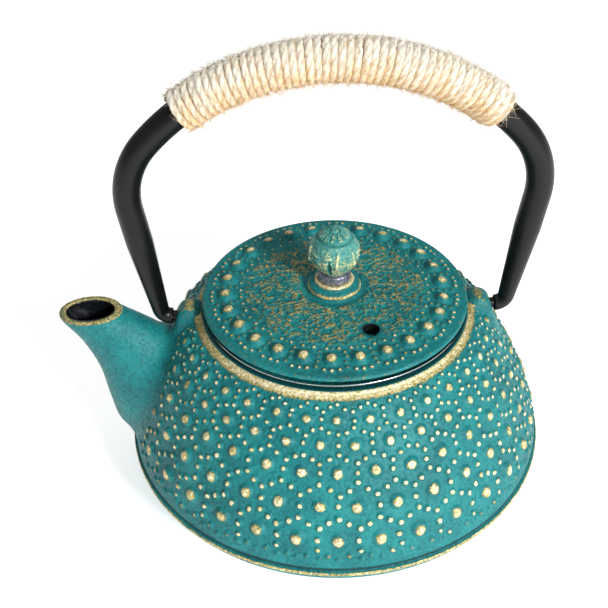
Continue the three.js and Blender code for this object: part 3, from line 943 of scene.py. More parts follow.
def build_studs():
    large, small = stud_field()
    points, normals, cap, fade = place_studs(large, 11, 0.22)
    height = 1.45 * fade * cap / 3.6
    big = studs(points, normals, cap * 0.5 + 1.1, height, cap * 0.54, 9, 24, 12, mix(0.2, 0.9, fade))
    points, normals, cap, fade = place_studs(small, 13, 0.2)
    height = 0.95 * fade * mix(0.75, 1.1, cap - 1.2)
    level = mix(0.2, 1.0, fade) * smoothstep(RIDGE_Z + 6.5, RIDGE_Z + 9, points[:, 2])
    dots = studs(points, normals, cap * 0.5 + 0.62, height, cap * 0.5, 6, 14, 14, level)
    for name, (stud_points, faces, gold) in (("pot_studs", big), ("pot_dots", dots)):
        pot_piece(name, stud_points, faces, PAINT, gold)


build_shell()
build_spout()
build_ear(-1, "ear_left")
build_ear(1, "ear_right")
build_studs()

# Lid.
LID_RADIUS = LID_HIGH[0]
LID_BOTTOM_Z = COLLAR_HIGH[2] + 0.2
LID_EDGE_Z = LID_BOTTOM_Z + 2.9
LID_CROWN_Z = LID_EDGE_Z + 1.9
PEDESTAL_Z = LID_HIGH[2]
POST_HOLE = 3.1
POST_RADIUS = 2.8
NUBS = 26
FRONT_NUB = math.radians(-95)
STEAM_HOLE_RADIUS = 2.6
STEAM_HOLE = 27 * np.array([math.cos(math.radians(-66.5)), math.sin(math.radians(-66.5))])
LEATHER_RADIUS = 32
LID_COLUMNS = 560
PEDESTAL_ROWS = 29
SLEEVE_COLUMNS = 48

# One nub's share of the border: (part of a step, radius, dome radius, dome height, how gold its top is).
BORDER = [
    (0.0, 38.3, 3.3, 2.3, 0.8),
    (0.0, 43.3, 1.15, 0.75, 0.95),
    (0.25, 43.1, 1.1, 0.7, 0.9),
    (-0.25, 43.1, 1.1, 0.7, 0.9),
    (0.5, 41.7, 1.15, 0.6, 0.55),
    (0.5, 39.4, 1.2, 0.6, 0.5),
    (0.5, 37.0, 1.15, 0.6, 0.5),
    (0.5, 34.8, 1.0, 0.6, 0.6),
    (0.24, 33.2, 1.0, 0.6, 0.85),
    (-0.24, 33.2, 1.0, 0.6, 0.85),
    (0.0, 33.0, 0.9, 0.45, 0.55),
]


def border_relief(radius, angle):
    """Height and gold of the border's domes round the lid, at polar places, with a ring of painted shade
    round the foot of each dome.
    """
    step = TAU / NUBS
    place = (angle - FRONT_NUB) / step
    height = np.zeros_like(radius)
    gold = np.zeros_like(radius)
    foot = np.full_like(radius, 9.0)
    for n, (part, reach, size, rise, level) in enumerate(BORDER):
        nearest = np.round(place - part)
        key = nearest.astype(np.int64) % NUBS
        wander = 0.28 * (lattice(key, 0, 0, 40 + n) - 0.5)
        drift = 0.4 * (lattice(key, 0, 0, 60 + n) - 0.5)
        grow = 1 + 0.18 * (lattice(key, 0, 0, 80 + n) - 0.5)
        along = (place - part - nearest) * step * reach - drift
        out = radius - reach - wander
        share = np.hypot(along, out) / (size * grow)
        domed = rise * grow * dome(share, 1.25)
        height = np.maximum(height, domed)
        crown = level * (1 - smoothstep(0.3, 0.78, np.hypot(along, out - 0.12 * size) / (size * grow)))
        gold = np.maximum(gold, crown)
        foot = np.minimum(foot, np.abs(share - 1.05) * size)
    # Painted shade: a dark ring round each dome's foot where no gold lies.
    gold -= 0.35 * smoothstep(0.35, 0.05, foot) * (gold < 0.1)
    return height, gold


def leather_relief(points):
    """Cast leather pattern: worm-like ridges that carry the gold, and pebbles between them, with painted
    shade in the valleys.
    """
    flat = points[:, :2]
    flow = np.stack([flat[:, 0], flat[:, 1], 0 * flat[:, 0]], 1)
    bend = np.stack([noise(flow, 6, 31), noise(flow, 6, 32), 0 * flat[:, 0]], 1)
    warped = (flow + 1.5 * bend) * (0.72, 1.1, 1)
    ridges = 1 - np.abs(fractal(warped, 1.5, 2, 33)) * 2.9
    ridges = np.clip(ridges, 0, 1)
    border = cell_edges(warped[:, :2], 1.5, 35)
    pebbles = smoothstep(0, 0.6, border)
    height = 0.75 * ridges**1.2 + 0.35 * pebbles * (1 - ridges)
    gold = 0.54 * smoothstep(0.05, 0.7, ridges)
    # Painted shade in the valleys between the ridges.
    gold -= 0.3 * (1 - smoothstep(0, 0.35, ridges)) * (1 - pebbles * 0.75)
    return height, gold


def lid_profile():
    top = np.concatenate(
        [
            arc(LID_RADIUS - 1, LID_EDGE_Z - 1, 1, 0, 90, 6),
            line((LID_RADIUS - 1, LID_EDGE_Z), (34, LID_EDGE_Z + 0.7), steps=42)[1:],
            line((34, LID_EDGE_Z + 0.7), (12, LID_CROWN_Z), steps=66)[1:],
            line((12, LID_CROWN_Z), (10.2, LID_CROWN_Z + 0.1), steps=4)[1:],
        ]
    )
    top[:, 1] -= 0.35 * smoothstep(36, 12, top[:, 0])
    pedestal = spline(
        [
            (10.2, LID_CROWN_Z - 0.25),
            (9.55, LID_CROWN_Z + 0.15),
            (9.35, LID_CROWN_Z + 1.1),
            (8.75, LID_CROWN_Z + 2.0),
            (7.7, LID_CROWN_Z + 2.7),
            (7.05, PEDESTAL_Z - 0.6),
            (6.75, PEDESTAL_Z - 0.15),
            (6.4, PEDESTAL_Z),
        ],
        np.linspace(0, 1, PEDESTAL_ROWS),
    )
    under = line(
        (POST_HOLE, PEDESTAL_Z),
        (POST_HOLE, LID_BOTTOM_Z - 0.5),
        (8, LID_BOTTOM_Z - 0.5),
        (9, LID_BOTTOM_Z + 0.5),
        (31.2, LID_BOTTOM_Z + 0.5),
        (31.4, LID_BOTTOM_Z - 1.0),
        (31.7, LID_BOTTOM_Z - 1.2),
        (32.7, LID_BOTTOM_Z - 1.2),
        (33, LID_BOTTOM_Z - 1.0),
        (33.4, LID_BOTTOM_Z),
        (LID_RADIUS - 0.6, LID_BOTTOM_Z),
        (LID_RADIUS, LID_BOTTOM_Z + 0.6),
        steps=2,
    )
    return top, np.concatenate([top[:-1], pedestal, under])


def build_lid():
    top, profile = lid_profile()
    points = turn(profile, LID_COLUMNS)
    faces = grid_faces(len(profile), LID_COLUMNS)
    count = len(top) * LID_COLUMNS
    part = points[:count]
    radius = from_axis(part)
    angle = np.arctan2(part[:, 1], part[:, 0])
    height, gold = border_relief(radius, angle)
    worm, worm_gold = leather_relief(part)
    field = smoothstep(LEATHER_RADIUS + 1.4, LEATHER_RADIUS - 1, radius) * smoothstep(10.2, 13, radius)
    height += worm * field
    gold = np.where(field > 0.02, np.where(gold > worm_gold * field, gold, worm_gold * field), gold)
    rough = fractal(part, 1.6, 2, 41)
    band = smoothstep(44.6, 46.2, radius)
    height += 0.07 * rough * smoothstep(LID_RADIUS - 0.2, LID_RADIUS - 1.2, radius)
    gold = np.maximum(gold, band * (0.26 + 0.2 * rough))
    to_hole = np.hypot(part[:, 0] - STEAM_HOLE[0], part[:, 1] - STEAM_HOLE[1])
    hole_edge = smoothstep(STEAM_HOLE_RADIUS + 2.2, STEAM_HOLE_RADIUS, to_hole)
    height = height * (1 - hole_edge) + 0.12 * hole_edge
    gold *= 1 - hole_edge
    part[:, 2] += height

    gold_all = np.zeros(len(points))
    gold_all[:count] = gold
    on_pedestal = slice(count, count + (PEDESTAL_ROWS - 1) * LID_COLUMNS)
    crown = points[on_pedestal]
    lift = crown[:, 2]
    uneven = fractal(crown, 3.5, 3, 43)
    # Painted highlight: a cream band round the middle of the pedestal's flare.
    painted_highlight = smoothstep(0.4, 1.0, lift - LID_CROWN_Z) * smoothstep(2.3, 1.4, lift - LID_CROWN_Z)
    ring = smoothstep(PEDESTAL_Z - 1.0, PEDESTAL_Z - 0.35, lift + 0.2 * uneven)
    gold_all[on_pedestal] = np.maximum(painted_highlight * (0.75 + 0.5 * uneven), 0.85 * ring)
    fine = fractal(crown, 0.9, 2, 44)
    sideways = unit(crown * (1, 1, 0))
    points[on_pedestal] -= sideways * (0.08 * np.abs(fine))[:, None]

    to_hole = np.hypot(points[:, 0] - STEAM_HOLE[0], points[:, 1] - STEAM_HOLE[1])
    open_hole = to_hole < STEAM_HOLE_RADIUS
    near_hole = (to_hole < STEAM_HOLE_RADIUS + 0.45) & (from_axis(points) > 12)
    away = points[:, :2] - STEAM_HOLE
    snapped = STEAM_HOLE + away / np.maximum(to_hole, 1e-6)[:, None] * STEAM_HOLE_RADIUS
    keep = ~open_hole
    move = keep & near_hole
    points[move, :2] = snapped[move]
    faces = faces[keep[faces].all(axis=1)]
    make_piece("lid_casting", points, faces, "lid", "lid", PAINT, gold_all)
    sleeve = arc(0, 0, STEAM_HOLE_RADIUS, 0, 360, SLEEVE_COLUMNS)[:-1]
    rings = []
    for z in (LID_CROWN_Z - 0.1, LID_CROWN_Z - 0.6, LID_BOTTOM_Z + 0.5, LID_BOTTOM_Z + 0.45):
        spread = 0.25 if z > LID_CROWN_Z - 0.3 else 0
        place = STEAM_HOLE + sleeve * (1 + spread / STEAM_HOLE_RADIUS)
        rings.append(np.column_stack([place, np.full(len(place), z)]))
    faces = grid_faces(len(rings), len(sleeve))
    make_piece("steam_hole", np.concatenate(rings), faces, "lid", "lid", ENAMEL)


# Knob.
KNOB_RADIUS = 9.05
KNOB_Z = KNOB_HIGH[2] - 8.7
ROSETTE_RADIUS = 6.2
PETALS = 12
LEAF_PANELS = 6
LEAF_TURN = math.radians(97)
NECK_COLUMNS = 128


def rosette_relief(x, y):
    """A flower of twelve petals round a button, inside a ring groove, with painted shade in the groove and
    along the veins.
    """
    radius = np.hypot(x, y)
    angle = np.arctan2(y, x)
    turn_part = (angle / TAU * PETALS + 0.25) % 1 - 0.5
    vein = np.abs(turn_part) * TAU / PETALS * np.maximum(radius, 0.6)
    inside = smoothstep(ROSETTE_RADIUS - 0.1, ROSETTE_RADIUS - 0.7, radius)
    petal = smoothstep(2.2, 3.2, radius) * inside
    height = -0.6 * petal * smoothstep(0.5, 0.12, vein)
    height += 0.2 * petal * np.cos(turn_part * TAU * 0.5)
    height -= 0.75 * np.exp(-(((radius - ROSETTE_RADIUS - 0.15) / 0.42) ** 2))
    height -= 0.3 * np.exp(-(((radius - 1.75) / 0.3) ** 2))
    height += 0.5 * dome(radius / 1.35, 0.8) - 0.25 * dome(radius / 0.5, 1)
    gold = 0.42 * petal * smoothstep(0.3, 0.7, vein)
    gold = np.maximum(gold, 0.4 * np.exp(-(((radius - 1.15) / 0.3) ** 2)))
    # Painted shade in the ring groove and along the petals' veins.
    gold -= 0.5 * np.exp(-(((radius - ROSETTE_RADIUS - 0.15) / 0.4) ** 2))
    gold -= 0.4 * petal * smoothstep(0.45, 0.15, vein)
    return height, gold


def leaf_relief(azimuth, z):
    """Upright buds between arching leaves, repeated round the knob's side."""
    part = azimuth / TAU * LEAF_PANELS
    panel = np.round(part)
    u = (part - panel) * TAU / LEAF_PANELS * KNOB_RADIUS
    odd = (panel.astype(np.int64) % 2) * 2 - 1
    u = u * odd
    v = z - KNOB_Z
    slot_width = 0.55 * np.sqrt(np.clip(1 - ((v + 3.0) / 4.0) ** 2, 0, 1))
    groove = smoothstep(slot_width + 0.35, slot_width - 0.1, np.abs(u - 1.5)) * (np.abs(v + 3.0) < 4.0)
    stem = smoothstep(0.75, 0.25, np.abs(u + 1.3 + 0.12 * v))
    stem *= smoothstep(-2.8, -1.8, v) * smoothstep(4.4, 3.4, v)
    bud = dome(np.hypot((u + 1.2) / 0.95, (v + 1.4) / 1.5), 1.2)
    height = -1.0 * groove + 0.5 * stem + 0.4 * bud
    gold = np.maximum(0.85 * stem, 0.9 * smoothstep(0.2, 0.7, bud))
    for reach, drop in ((3.2, 0.8), (3.6, -1.1)):
        bow = 1.2 + drop - 0.26 * (u - 1.0) ** 2 / reach
        leaf = smoothstep(0.8, 0.2, np.abs(v - bow)) * smoothstep(0.2, 0.9, u) * smoothstep(4.4, 3.2, u)
        height += 0.36 * leaf
        gold = np.maximum(gold, 0.8 * leaf)
    return height, gold


def build_knob():
    rows, columns = 170, 260
    low = math.asin((KNOB_LOW[2] - KNOB_Z) / KNOB_RADIUS)
    polar = np.linspace(low, math.pi / 2 - 0.004, rows)
    radius = KNOB_RADIUS * np.cos(polar)
    flattened_top = KNOB_HIGH[2] - 0.045 * (radius / 2.2) ** 2
    z = np.minimum(KNOB_Z + KNOB_RADIUS * np.sin(polar), flattened_top)
    directions = turn(np.column_stack([np.cos(polar), np.sin(polar)]), columns)
    points = turn(np.column_stack([radius, z]), columns)
    top_height, top_gold = rosette_relief(points[:, 0], points[:, 1])
    on_top = smoothstep(KNOB_HIGH[2] - 3.3, KNOB_HIGH[2] - 2.7, points[:, 2])
    azimuth = np.arctan2(points[:, 1], points[:, 0]) + LEAF_TURN
    side_height, side_gold = leaf_relief(azimuth, points[:, 2])
    on_side = smoothstep(KNOB_HIGH[2] - 2.9, KNOB_HIGH[2] - 3.6, points[:, 2])
    on_side *= smoothstep(KNOB_LOW[2] + 0.6, KNOB_LOW[2] + 2.2, points[:, 2])
    wear = fractal(points, 2.4, 3, 51)
    pits = np.clip(fractal(points, 0.8, 2, 52), 0, 1)
    height = top_height * on_top + side_height * on_side - 0.25 * pits * smoothstep(0.35, 0.6, pits) - 0.42
    points += directions * height[:, None]
    brushed = 0.42 + 0.3 * wear
    low_part = smoothstep(KNOB_Z + 5, KNOB_Z - 5, points[:, 2])
    brushed *= mix(0.7, 1.15, low_part) * (1 - on_top)
    gold = np.maximum.reduce([top_gold * on_top, side_gold * on_side * (0.8 + 0.5 * wear), brushed])
    # Painted shade in the grooves of the side relief.
    gold -= 0.5 * smoothstep(-0.1, -0.5, side_height * on_side)
    hole = [(POST_HOLE, KNOB_LOW[2]), (POST_HOLE, KNOB_Z - 1)]
    inner = line((KNOB_RADIUS * math.cos(low) - 1.2, KNOB_LOW[2]), *hole, steps=3)
    bottom = turn(inner[::-1], columns)
    points = np.concatenate([bottom, points])
    gold = np.concatenate([np.zeros(len(bottom)), gold])
    rim = slice(len(bottom), len(bottom) + columns)
    points[rim, 2] = KNOB_LOW[2]
    faces = grid_faces(len(points) // columns, columns)
    make_piece("knob_casting", points, faces, "knob", "lid_knob", KNOB_PAINT, gold)


def build_neck():
    bottom_z, top_z = POST_LOW[2], POST_HIGH[2]
    washer_z = LID_BOTTOM_Z - 0.8
    neck = 5.8
    neck_z = PEDESTAL_Z + 0.2
    post = np.concatenate(
        [
            line((0.01, bottom_z), (2.4, bottom_z + 0.1), steps=2)[:-1],
            arc(2.6, bottom_z + 1.75, 1.65, -80, 0, 6),
            line((4.3, washer_z - 1.05), (POST_RADIUS, washer_z - 1.0), (POST_RADIUS, neck_z), steps=2)[1:],
            line((POST_RADIUS, neck_z), (neck - 0.3, neck_z), steps=2)[1:],
            arc(neck - 0.35, PEDESTAL_Z + 0.55, 0.35, -90, 0, 4)[1:],
            line((neck, PEDESTAL_Z + 1.2), (neck, KNOB_LOW[2] - 0.6), steps=6),
            arc(neck - 0.3, KNOB_LOW[2] - 0.6, 0.3, 0, 90, 3)[1:],
            line((POST_RADIUS, KNOB_LOW[2] - 0.3), (POST_RADIUS, top_z - 0.3), steps=2)[:-1],
            line((POST_RADIUS, top_z - 0.3), (2.4, top_z), (0.01, top_z), steps=2),
        ]
    )
    points = turn(post, NECK_COLUMNS)
    radius = from_axis(points)
    rough = np.abs(fractal(points, 0.9, 3, 55)) * smoothstep(neck - 0.8, neck - 0.2, radius)
    points[:, :2] *= (1 - 0.3 * rough / np.maximum(radius, 1))[:, None]
    faces = grid_faces(len(post), NECK_COLUMNS)
    make_piece("neck_and_rivet", points, faces, "knob", "knob_post", BARE_STEEL)
    washer = [
        line((3.0, washer_z - 0.8), (6.1, washer_z - 0.8)),
        arc(6.1, washer_z - 0.5, 0.3, -90, 0, 3)[1:],
        arc(6.1, washer_z - 0.3, 0.3, 0, 90, 3),
        line((3.0, washer_z), (3.0, washer_z - 0.8)),
    ]
    turned_piece("plain_washer", washer, 96, "knob", "knob_washer", STAINLESS)


# Bail.
TOP_CENTRE = np.array([0, GRIP_HIGH[2] - 89.2])
TOP_RADIUS = 82
CORNER_RADIUS = 29.8
CORNER_START = 43
LEG_LEAN = 9
TUBE_END_X = 58.4
END_BEND = 3.8
TUBE_RADIUS = 4.6
TUBE_END_RADIUS = 2.9
PIN_RADIUS = 1.9
PIN_COLUMNS = 40


def bail_half(step):
    """Centre line of the right half in (x, z), from the top of the arch to the end that faces the ear."""
    out = np.array([math.cos(math.radians(CORNER_START)), math.sin(math.radians(CORNER_START))])
    corner = TOP_CENTRE + (TOP_RADIUS - CORNER_RADIUS) * out
    bend = (TUBE_END_X, PIVOT_Z + END_BEND)
    top = arc(*TOP_CENTRE, TOP_RADIUS, 90, CORNER_START, int(67 / step))
    side = arc(*corner, CORNER_RADIUS, CORNER_START, -LEG_LEAN, int(27 / step))
    foot = arc(*bend, END_BEND, -LEG_LEAN, -90, int(6 / step * 1.6))
    leg = line(side[-1], foot[0], steps=int(41 / step))
    return np.concatenate([top, side[1:], leg[1:], foot[1:]])


def bail_line(step):
    half = bail_half(step)
    flat = np.concatenate([half[:0:-1] * (-1, 1), half])
    return np.column_stack([flat[:, 0], np.zeros(len(flat)), flat[:, 1]])


def tube_radius(z):
    return mix(TUBE_END_RADIUS, TUBE_RADIUS, np.clip((z - PIVOT_Z - 2) / 30, 0, 1))


# Rings that close each end of the tube: how far inwards from the last ring, and share of the end's radius.
TUBE_CAP = np.array([(0.35, 0.97), (0.5, 0.86), (0.5, 0.71), (-1.0, 0.68)])
TUBE_SIDES = 56


def build_tube():
    centres = bail_line(0.8)
    inwards = np.outer(TUBE_CAP[:, 0], (1, 0, 0))
    cap_radii = TUBE_END_RADIUS * TUBE_CAP[:, 1]
    cap_along = np.tile((-1.0, 0.0, 0.0), (len(TUBE_CAP), 1))
    along = np.concatenate([cap_along, unit(np.gradient(centres, axis=0)), cap_along])
    radii = np.concatenate([cap_radii[::-1], tube_radius(centres[:, 2]), cap_radii])
    centres = np.concatenate([(centres[0] + inwards)[::-1], centres, centres[-1] - inwards])
    points = sweep(centres, radii, TUBE_SIDES, (0, 1, 0), along)
    faces = grid_faces(len(centres), TUBE_SIDES)
    make_piece("bail_tubing", points, faces, "bail", "bail_tube", BLACK)


def build_pins():
    angles = full_turn(PIN_COLUMNS)
    pins = ((-1, "pivot_pin_left", "bail_pin_left"), (1, "pivot_pin_right", "bail_pin_right"))
    for side, name, node in pins:
        near, far = sorted(abs(corner[0]) for corner in box_mm(node))
        profile = np.concatenate(
            [
                line((near, 0.01), (near, PIN_RADIUS - 0.4)),
                line((near + 0.4, PIN_RADIUS), (far - 0.3, PIN_RADIUS), steps=6),
                line((far, PIN_RADIUS - 0.3), (far, 0.01)),
            ]
        )
        x = np.repeat(profile[:, 0], PIN_COLUMNS) * side
        y = np.outer(profile[:, 1], np.cos(angles)).ravel()
        z = PIVOT_Z + np.outer(profile[:, 1], np.sin(angles)).ravel() * side
        faces = grid_faces(len(profile), PIN_COLUMNS)
        make_piece(name, np.stack([x, y, z], 1), faces, "bail", node, BLACK)


# Jute grip.
GRIP_START = 127
GRIP_END = 50
GRIP_TURNS = 46
STRAND_RADIUS = 1.3


def grip_frame(share):
    """Point on the tube's centre line, and the direction out of the arch, at shares along the grip."""
    angle = np.radians(mix(GRIP_START, GRIP_END, share))
    outwards = np.stack([np.cos(angle), 0 * angle, np.sin(angle)], 1)
    centre = np.array([TOP_CENTRE[0], 0, TOP_CENTRE[1]]) + TOP_RADIUS * outwards
    return centre, outwards


def turn_noise(along, y, z, seed):
    """Noise that changes along the winding."""
    return noise(np.stack([along, 0 * along + y, 0 * along + z], 1), 1.0, seed)


def wrap_line(turns):
    """Centre line of the strand at numbers of turns wound from the left end."""
    share = (turns + 0.55) / (GRIP_TURNS + 1.1)
    centre, outwards = grip_frame(share)
    ends = smoothstep(0, 1.2, turns) * smoothstep(GRIP_TURNS, GRIP_TURNS - 1.2, turns)
    reach = TUBE_RADIUS + STRAND_RADIUS * mix(0.72, 1.0, ends)
    angle = turns * TAU
    slack = 0.12 * turn_noise(turns * 3, 0, 0, 71)
    spoke = outwards * np.cos(angle)[:, None] + np.array((0, 1, 0)) * np.sin(angle)[:, None]
    along = np.stack([outwards[:, 2], 0 * turns, -outwards[:, 0]], 1)
    wobble = 0.22 * turn_noise(turns * 2.2, 9, 0, 72)
    return centre + spoke * (reach + np.minimum(slack, 0))[:, None] + along * wobble[:, None], spoke, ends


def build_grip():
    turns = np.linspace(0, GRIP_TURNS, GRIP_TURNS * 54)
    middle, spoke, ends = wrap_line(turns)
    along = unit(np.gradient(middle, axis=0))
    across = np.cross(along, spoke)
    plies, sides = 3, 8
    size = STRAND_RADIUS * mix(0.72, 1.0, ends)
    thin = 1 + 0.12 * turn_noise(turns * 2.6, 0, 4, 73)
    all_points, all_faces, all_gold = [], [], []
    for ply in range(plies):
        twist = turns * TAU * 3.4 + TAU * ply / plies
        offset = (spoke * np.cos(twist)[:, None] + across * np.sin(twist)[:, None]) * (size * 0.36)[:, None]
        centre = middle + offset
        points = sweep(centre, size * 0.7 * thin, sides, spoke)
        height = ((points - np.repeat(middle, sides, 0)) * np.repeat(spoke, sides, 0)).sum(1) / STRAND_RADIUS
        all_faces.append(grid_faces(len(centre), sides) + len(points) * ply)
        all_points.append(points)
        # Painted light: the gold attribute here is paler on each strand's outside and on turns that face up,
        # and darker as painted shade where strands meet.
        upwards = np.repeat(spoke[:, 2], sides)
        all_gold.append(np.clip(0.5 + 0.25 * height + 0.25 * upwards, 0, 1))
    points = np.concatenate(all_points)
    outwards = unit(points - np.tile(np.repeat(middle, sides, 0), (plies, 1)))
    points += 0.05 * fractal(points, 0.7, 2, 74)[:, None] * outwards
    faces, gold = np.concatenate(all_faces), np.concatenate(all_gold)
    make_piece("grip_strands", points, faces, "bail", "grip_twine", JUTE, gold)


def build_fuzz():
    """Loose fibres that stand off the wound twine, as thin three-sided hairs."""
    rng = np.random.default_rng(29)
    count, stations, sides = 8500, 4, 3
    turns = rng.uniform(0, GRIP_TURNS, count)
    middle, spoke, _ = wrap_line(turns)
    ahead, _, _ = wrap_line(np.clip(turns + 0.02, 0, GRIP_TURNS))
    along = unit(ahead - middle + 1e-9)
    across = np.cross(along, spoke)
    lean = rng.normal(0, 0.7, (count, 2))
    start = middle + unit(spoke + across * lean[:, :1] * 0.6) * STRAND_RADIUS * 0.8
    length = np.minimum(rng.gamma(3.0, 0.75, count) * 1.3, 4.5)
    course = rng.normal(0, 0.75, count)
    sense = rng.choice([-1, 1], count)[:, None]
    outwards = np.minimum(rng.gamma(1.3, 0.24, count), 0.8)[:, None]
    sideways = across * np.sin(course)[:, None]
    heading = unit(along * sense * np.cos(course)[:, None] + sideways + spoke * outwards)
    curl = unit(rng.normal(0, 1, (count, 3)))
    lift = np.linspace(0, 1, stations)
    path = start[:, None] + heading[:, None] * (length[:, None] * lift)[..., None]
    path += curl[:, None] * (0.3 * length[:, None] * lift**2)[..., None]
    thickness = rng.uniform(0.04, 0.085, count)
    side = unit(np.cross(heading, curl))
    other = np.cross(heading, side)
    angles = full_turn(sides)
    spokes = side[:, None] * np.cos(angles)[None, :, None] + other[:, None] * np.sin(angles)[None, :, None]
    taper = thickness[:, None] * (1 - 0.6 * lift)
    points = (path[:, :, None] + spokes[:, None] * taper[:, :, None, None]).reshape(-1, 3)
    one = grid_faces(stations, sides)
    faces = (one[None] + (np.arange(count) * stations * sides)[:, None, None]).reshape(-1, 4)
    # Painted light: fibres on the top of the grip are paler, those below are more tan.
    gold = np.repeat(0.5 + 0.25 * spoke[:, 2] + rng.uniform(-0.15, 0.25, count), stations * sides)
    make_piece("grip_fibres", points, faces, "bail", "grip_twine", FIBRE, gold)


# Infuser.
FLANGE_Z = COLLAR_HIGH[2] - 0.6
FLANGE_RADIUS = COLLAR_HIGH[0] - 0.25
COLLAR_RADIUS = BAND_HIGH[0]
SHEET = 0.6
SCREEN_RADIUS = SCREEN_HIGH[0] - 0.15
WIRE_RADIUS = 0.15
WIRE_SIDES = 3
WEAVE = 0.04
PRESSING_COLUMNS = 240


def build_infuser():
    low, bend = COLLAR_LOW[2], COLLAR_RADIUS + SHEET
    wall_inside = COLLAR_RADIUS - SHEET
    collar = [
        line((wall_inside, low + 0.2), (COLLAR_RADIUS - 0.3, low), (COLLAR_RADIUS, low + 0.2), steps=2),
        line((COLLAR_RADIUS, FLANGE_Z - 1.0), (COLLAR_RADIUS, FLANGE_Z - 0.6)),
        arc(bend, FLANGE_Z - 0.6, 0.6, 180, 90, 4)[1:],
        line((FLANGE_RADIUS - 0.1, FLANGE_Z), (FLANGE_RADIUS, FLANGE_Z)),
        arc(FLANGE_RADIUS, FLANGE_Z + 0.3, 0.25, -80, 80, 6, 0.3),
        line((FLANGE_RADIUS, COLLAR_HIGH[2]), (bend, COLLAR_HIGH[2]), steps=4),
        arc(bend, FLANGE_Z - 0.6, 1.2, 90, 180, 5)[1:],
        line((wall_inside, low + 2.4), (wall_inside, low + 0.2), steps=3),
    ]
    bottom, top, opening = BAND_LOW[2], BAND_HIGH[2], COLLAR_RADIUS - 5
    band = [
        line((opening, bottom), (COLLAR_RADIUS - 0.8, bottom), steps=4),
        arc(COLLAR_RADIUS - 0.8, bottom + 0.8, 0.8, -90, 0, 5)[1:],
        line((COLLAR_RADIUS, top - 0.2), (COLLAR_RADIUS - 0.3, top), (wall_inside, top - 0.2)),
        line((wall_inside, bottom + 1.1), (COLLAR_RADIUS - 1.1, bottom + SHEET), steps=2)[:-1],
        line((COLLAR_RADIUS - 1.1, bottom + SHEET), (opening, bottom + SHEET), (opening, bottom), steps=2),
    ]
    for name, profile, node in (
        ("collar_pressing", collar, "infuser_collar"),
        ("foot_band_pressing", band, "infuser_foot_band"),
    ):
        turned_piece(name, profile, PRESSING_COLUMNS, "infuser", node, STAINLESS)


def weave(count, start):
    """A wire's way over and under the ones it crosses, from -1 to 1."""
    return np.cos(np.arange(count) * math.pi + start * math.pi)


def wires(paths):
    """Points and faces of thin wires: paths is a list of (points, up vector, closed)."""
    all_points, all_faces, start = [], [], 0
    for centres, up, closed in paths:
        points = sweep(centres, np.full(len(centres), WIRE_RADIUS), WIRE_SIDES, up)
        faces = grid_faces(len(centres), WIRE_SIDES)
        if closed:
            k = np.arange(WIRE_SIDES)
            after = (k + 1) % WIRE_SIDES
            last = (len(centres) - 1) * WIRE_SIDES
            faces = np.concatenate([faces, np.stack([last + k, last + after, after, k], -1)])
        all_points.append(points)
        all_faces.append(faces + start)
        start += len(points)
    return np.concatenate(all_points), np.concatenate(all_faces)


def build_side_screen():
    uprights, rings = 200, 40
    low, high = SCREEN_LOW[2] + 0.2, SCREEN_HIGH[2] - 0.2
    paths = []
    z = np.linspace(low, high, rings * 2 + 1)
    for n in range(uprights):
        angle = TAU * n / uprights
        radius = SCREEN_RADIUS + WEAVE * weave(len(z), n)
        centres = np.stack([radius * math.cos(angle), radius * math.sin(angle), z], 1)
        paths.append((centres, (math.cos(angle), math.sin(angle), 0), False))
    around = full_turn(uprights * 2)
    for n in range(rings):
        height = mix(low, high, (n + 0.5) / rings)
        radius = SCREEN_RADIUS + WEAVE * weave(len(around), n)
        centres = [radius * np.cos(around), radius * np.sin(around), np.full(len(around), height)]
        paths.append((np.stack(centres, 1), (0, 0, 1), True))
    points, faces = wires(paths)
    make_piece("side_screen_wires", points, faces, "infuser", "infuser_screen", WIRE)


def build_base_screen():
    low, high = box_mm("infuser_base_screen")
    middle_z = (low[2] + high[2]) / 2
    reach = high[0] - 0.2
    paths = []
    for direction in (0, 1):
        for n, offset in enumerate(np.linspace(-reach + 1.0, reach - 1.0, 46)):
            half = math.sqrt(max(reach**2 - offset**2, 0.5))
            steps = max(int(half / 0.76), 3)
            run = np.linspace(-half, half, steps * 2)
            z = middle_z + 0.035 * weave(len(run), n + direction)
            side = np.full(len(run), offset)
            pair = (run, side) if direction == 0 else (side, run)
            paths.append((np.stack([*pair, z], 1), (0, 0, 1), False))
    points, faces = wires(paths)
    make_piece("base_screen_wires", points, faces, "infuser", "infuser_base_screen", WIRE)


build_lid()
build_knob()
build_neck()
build_tube()
build_pins()
build_grip()
build_fuzz()
build_infuser()
build_side_screen()
build_base_screen()

# Floor, lights and camera.


def floor_material():
    material, tree, shader = new_material("pale_floor")
    cloud = texture_noise(tree, 400, detail=2)
    colour = ramp(tree, cloud, [(0.3, (0.86, 0.86, 0.86, 1)), (0.7, (0.9, 0.9, 0.9, 1))])
    tree.links.new(colour, shader.inputs["Base Color"])
    shader.inputs["Roughness"].default_value = 0.85
    shader.inputs["Emission Color"].default_value = (1, 1, 1, 1)
    shader.inputs["Emission Strength"].default_value = 0.6
    return material


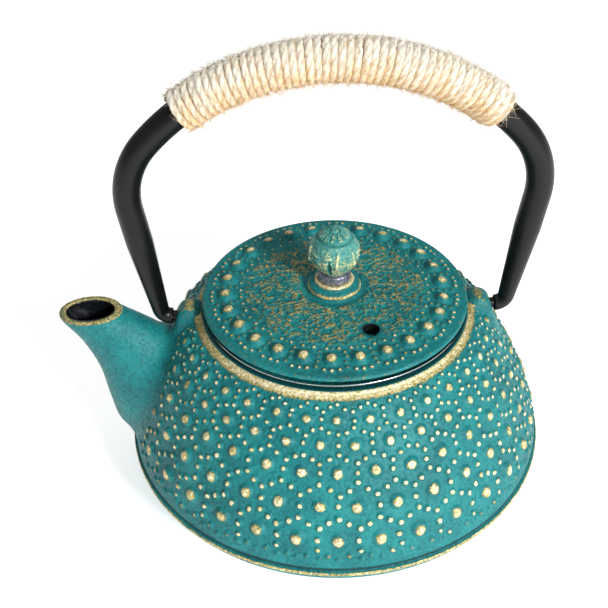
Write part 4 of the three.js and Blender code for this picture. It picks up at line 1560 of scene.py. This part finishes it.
floor_mesh = bpy.data.meshes.new("floor")
FLOOR_HALF = 3.0
corners = [(FLOOR_HALF * x, FLOOR_HALF * y, 0) for x, y in ((-1, -1), (1, -1), (1, 1), (-1, 1))]
floor_mesh.from_pydata(corners, [], [(0, 1, 2, 3)])
floor_mesh.materials.append(floor_material())
floor = bpy.data.objects.new("floor", floor_mesh)
floor.location.z = cad_low[2] - 0.0003
bpy.context.scene.collection.objects.link(floor)

scene = bpy.context.scene
world = bpy.data.worlds.new("studio")
scene.world = world
world.use_nodes = True
sky = world.node_tree
background = sky.nodes["Background"]
background.inputs["Color"].default_value = (1, 1, 1, 1)
seen = sky.nodes.new("ShaderNodeLightPath").outputs["Is Camera Ray"]
strength = map_range(sky, seen, 0, 1, 0.28, 1)
sky.links.new(strength, background.inputs["Strength"])
scene.view_settings.view_transform = "Standard"


def area_light(name, place, target, size, power):
    light = bpy.data.lights.new(name, "AREA")
    light.energy = power
    light.size = size
    lamp = bpy.data.objects.new(name, light)
    lamp.location = place
    lamp.rotation_euler = (Vector(target) - Vector(place)).to_track_quat("-Z", "Y").to_euler()
    scene.collection.objects.link(lamp)


MIDDLE = (-0.01, 0, 0.06)
area_light("key_front_right", (0.6, -0.95, 0.62), MIDDLE, 0.22, 19)
area_light("top", (-0.1, 0.1, 1.1), MIDDLE, 0.8, 2.5)

CAMERA_PLACE = Vector((-0.0191, -0.2628, 0.2772))
CAMERA_YAW, CAMERA_PITCH, CAMERA_ROLL = 0.0313, 0.6572, -0.0223
camera_data = bpy.data.cameras.new("camera")
camera_data.lens = 54.72
camera_data.sensor_width = 36
camera_data.clip_start = 0.01
camera = bpy.data.objects.new("camera", camera_data)
forward = Vector(
    (
        math.sin(CAMERA_YAW) * math.cos(CAMERA_PITCH),
        math.cos(CAMERA_YAW) * math.cos(CAMERA_PITCH),
        -math.sin(CAMERA_PITCH),
    )
)
level = forward.cross(Vector((0, 0, 1))).normalized()
upright = level.cross(forward)
right = math.cos(CAMERA_ROLL) * level + math.sin(CAMERA_ROLL) * upright
upwards = -math.sin(CAMERA_ROLL) * level + math.cos(CAMERA_ROLL) * upright
axes = Matrix((right, upwards, -forward)).transposed()
camera.matrix_world = Matrix.Translation(CAMERA_PLACE) @ axes.to_4x4()
scene.collection.objects.link(camera)
scene.camera = camera
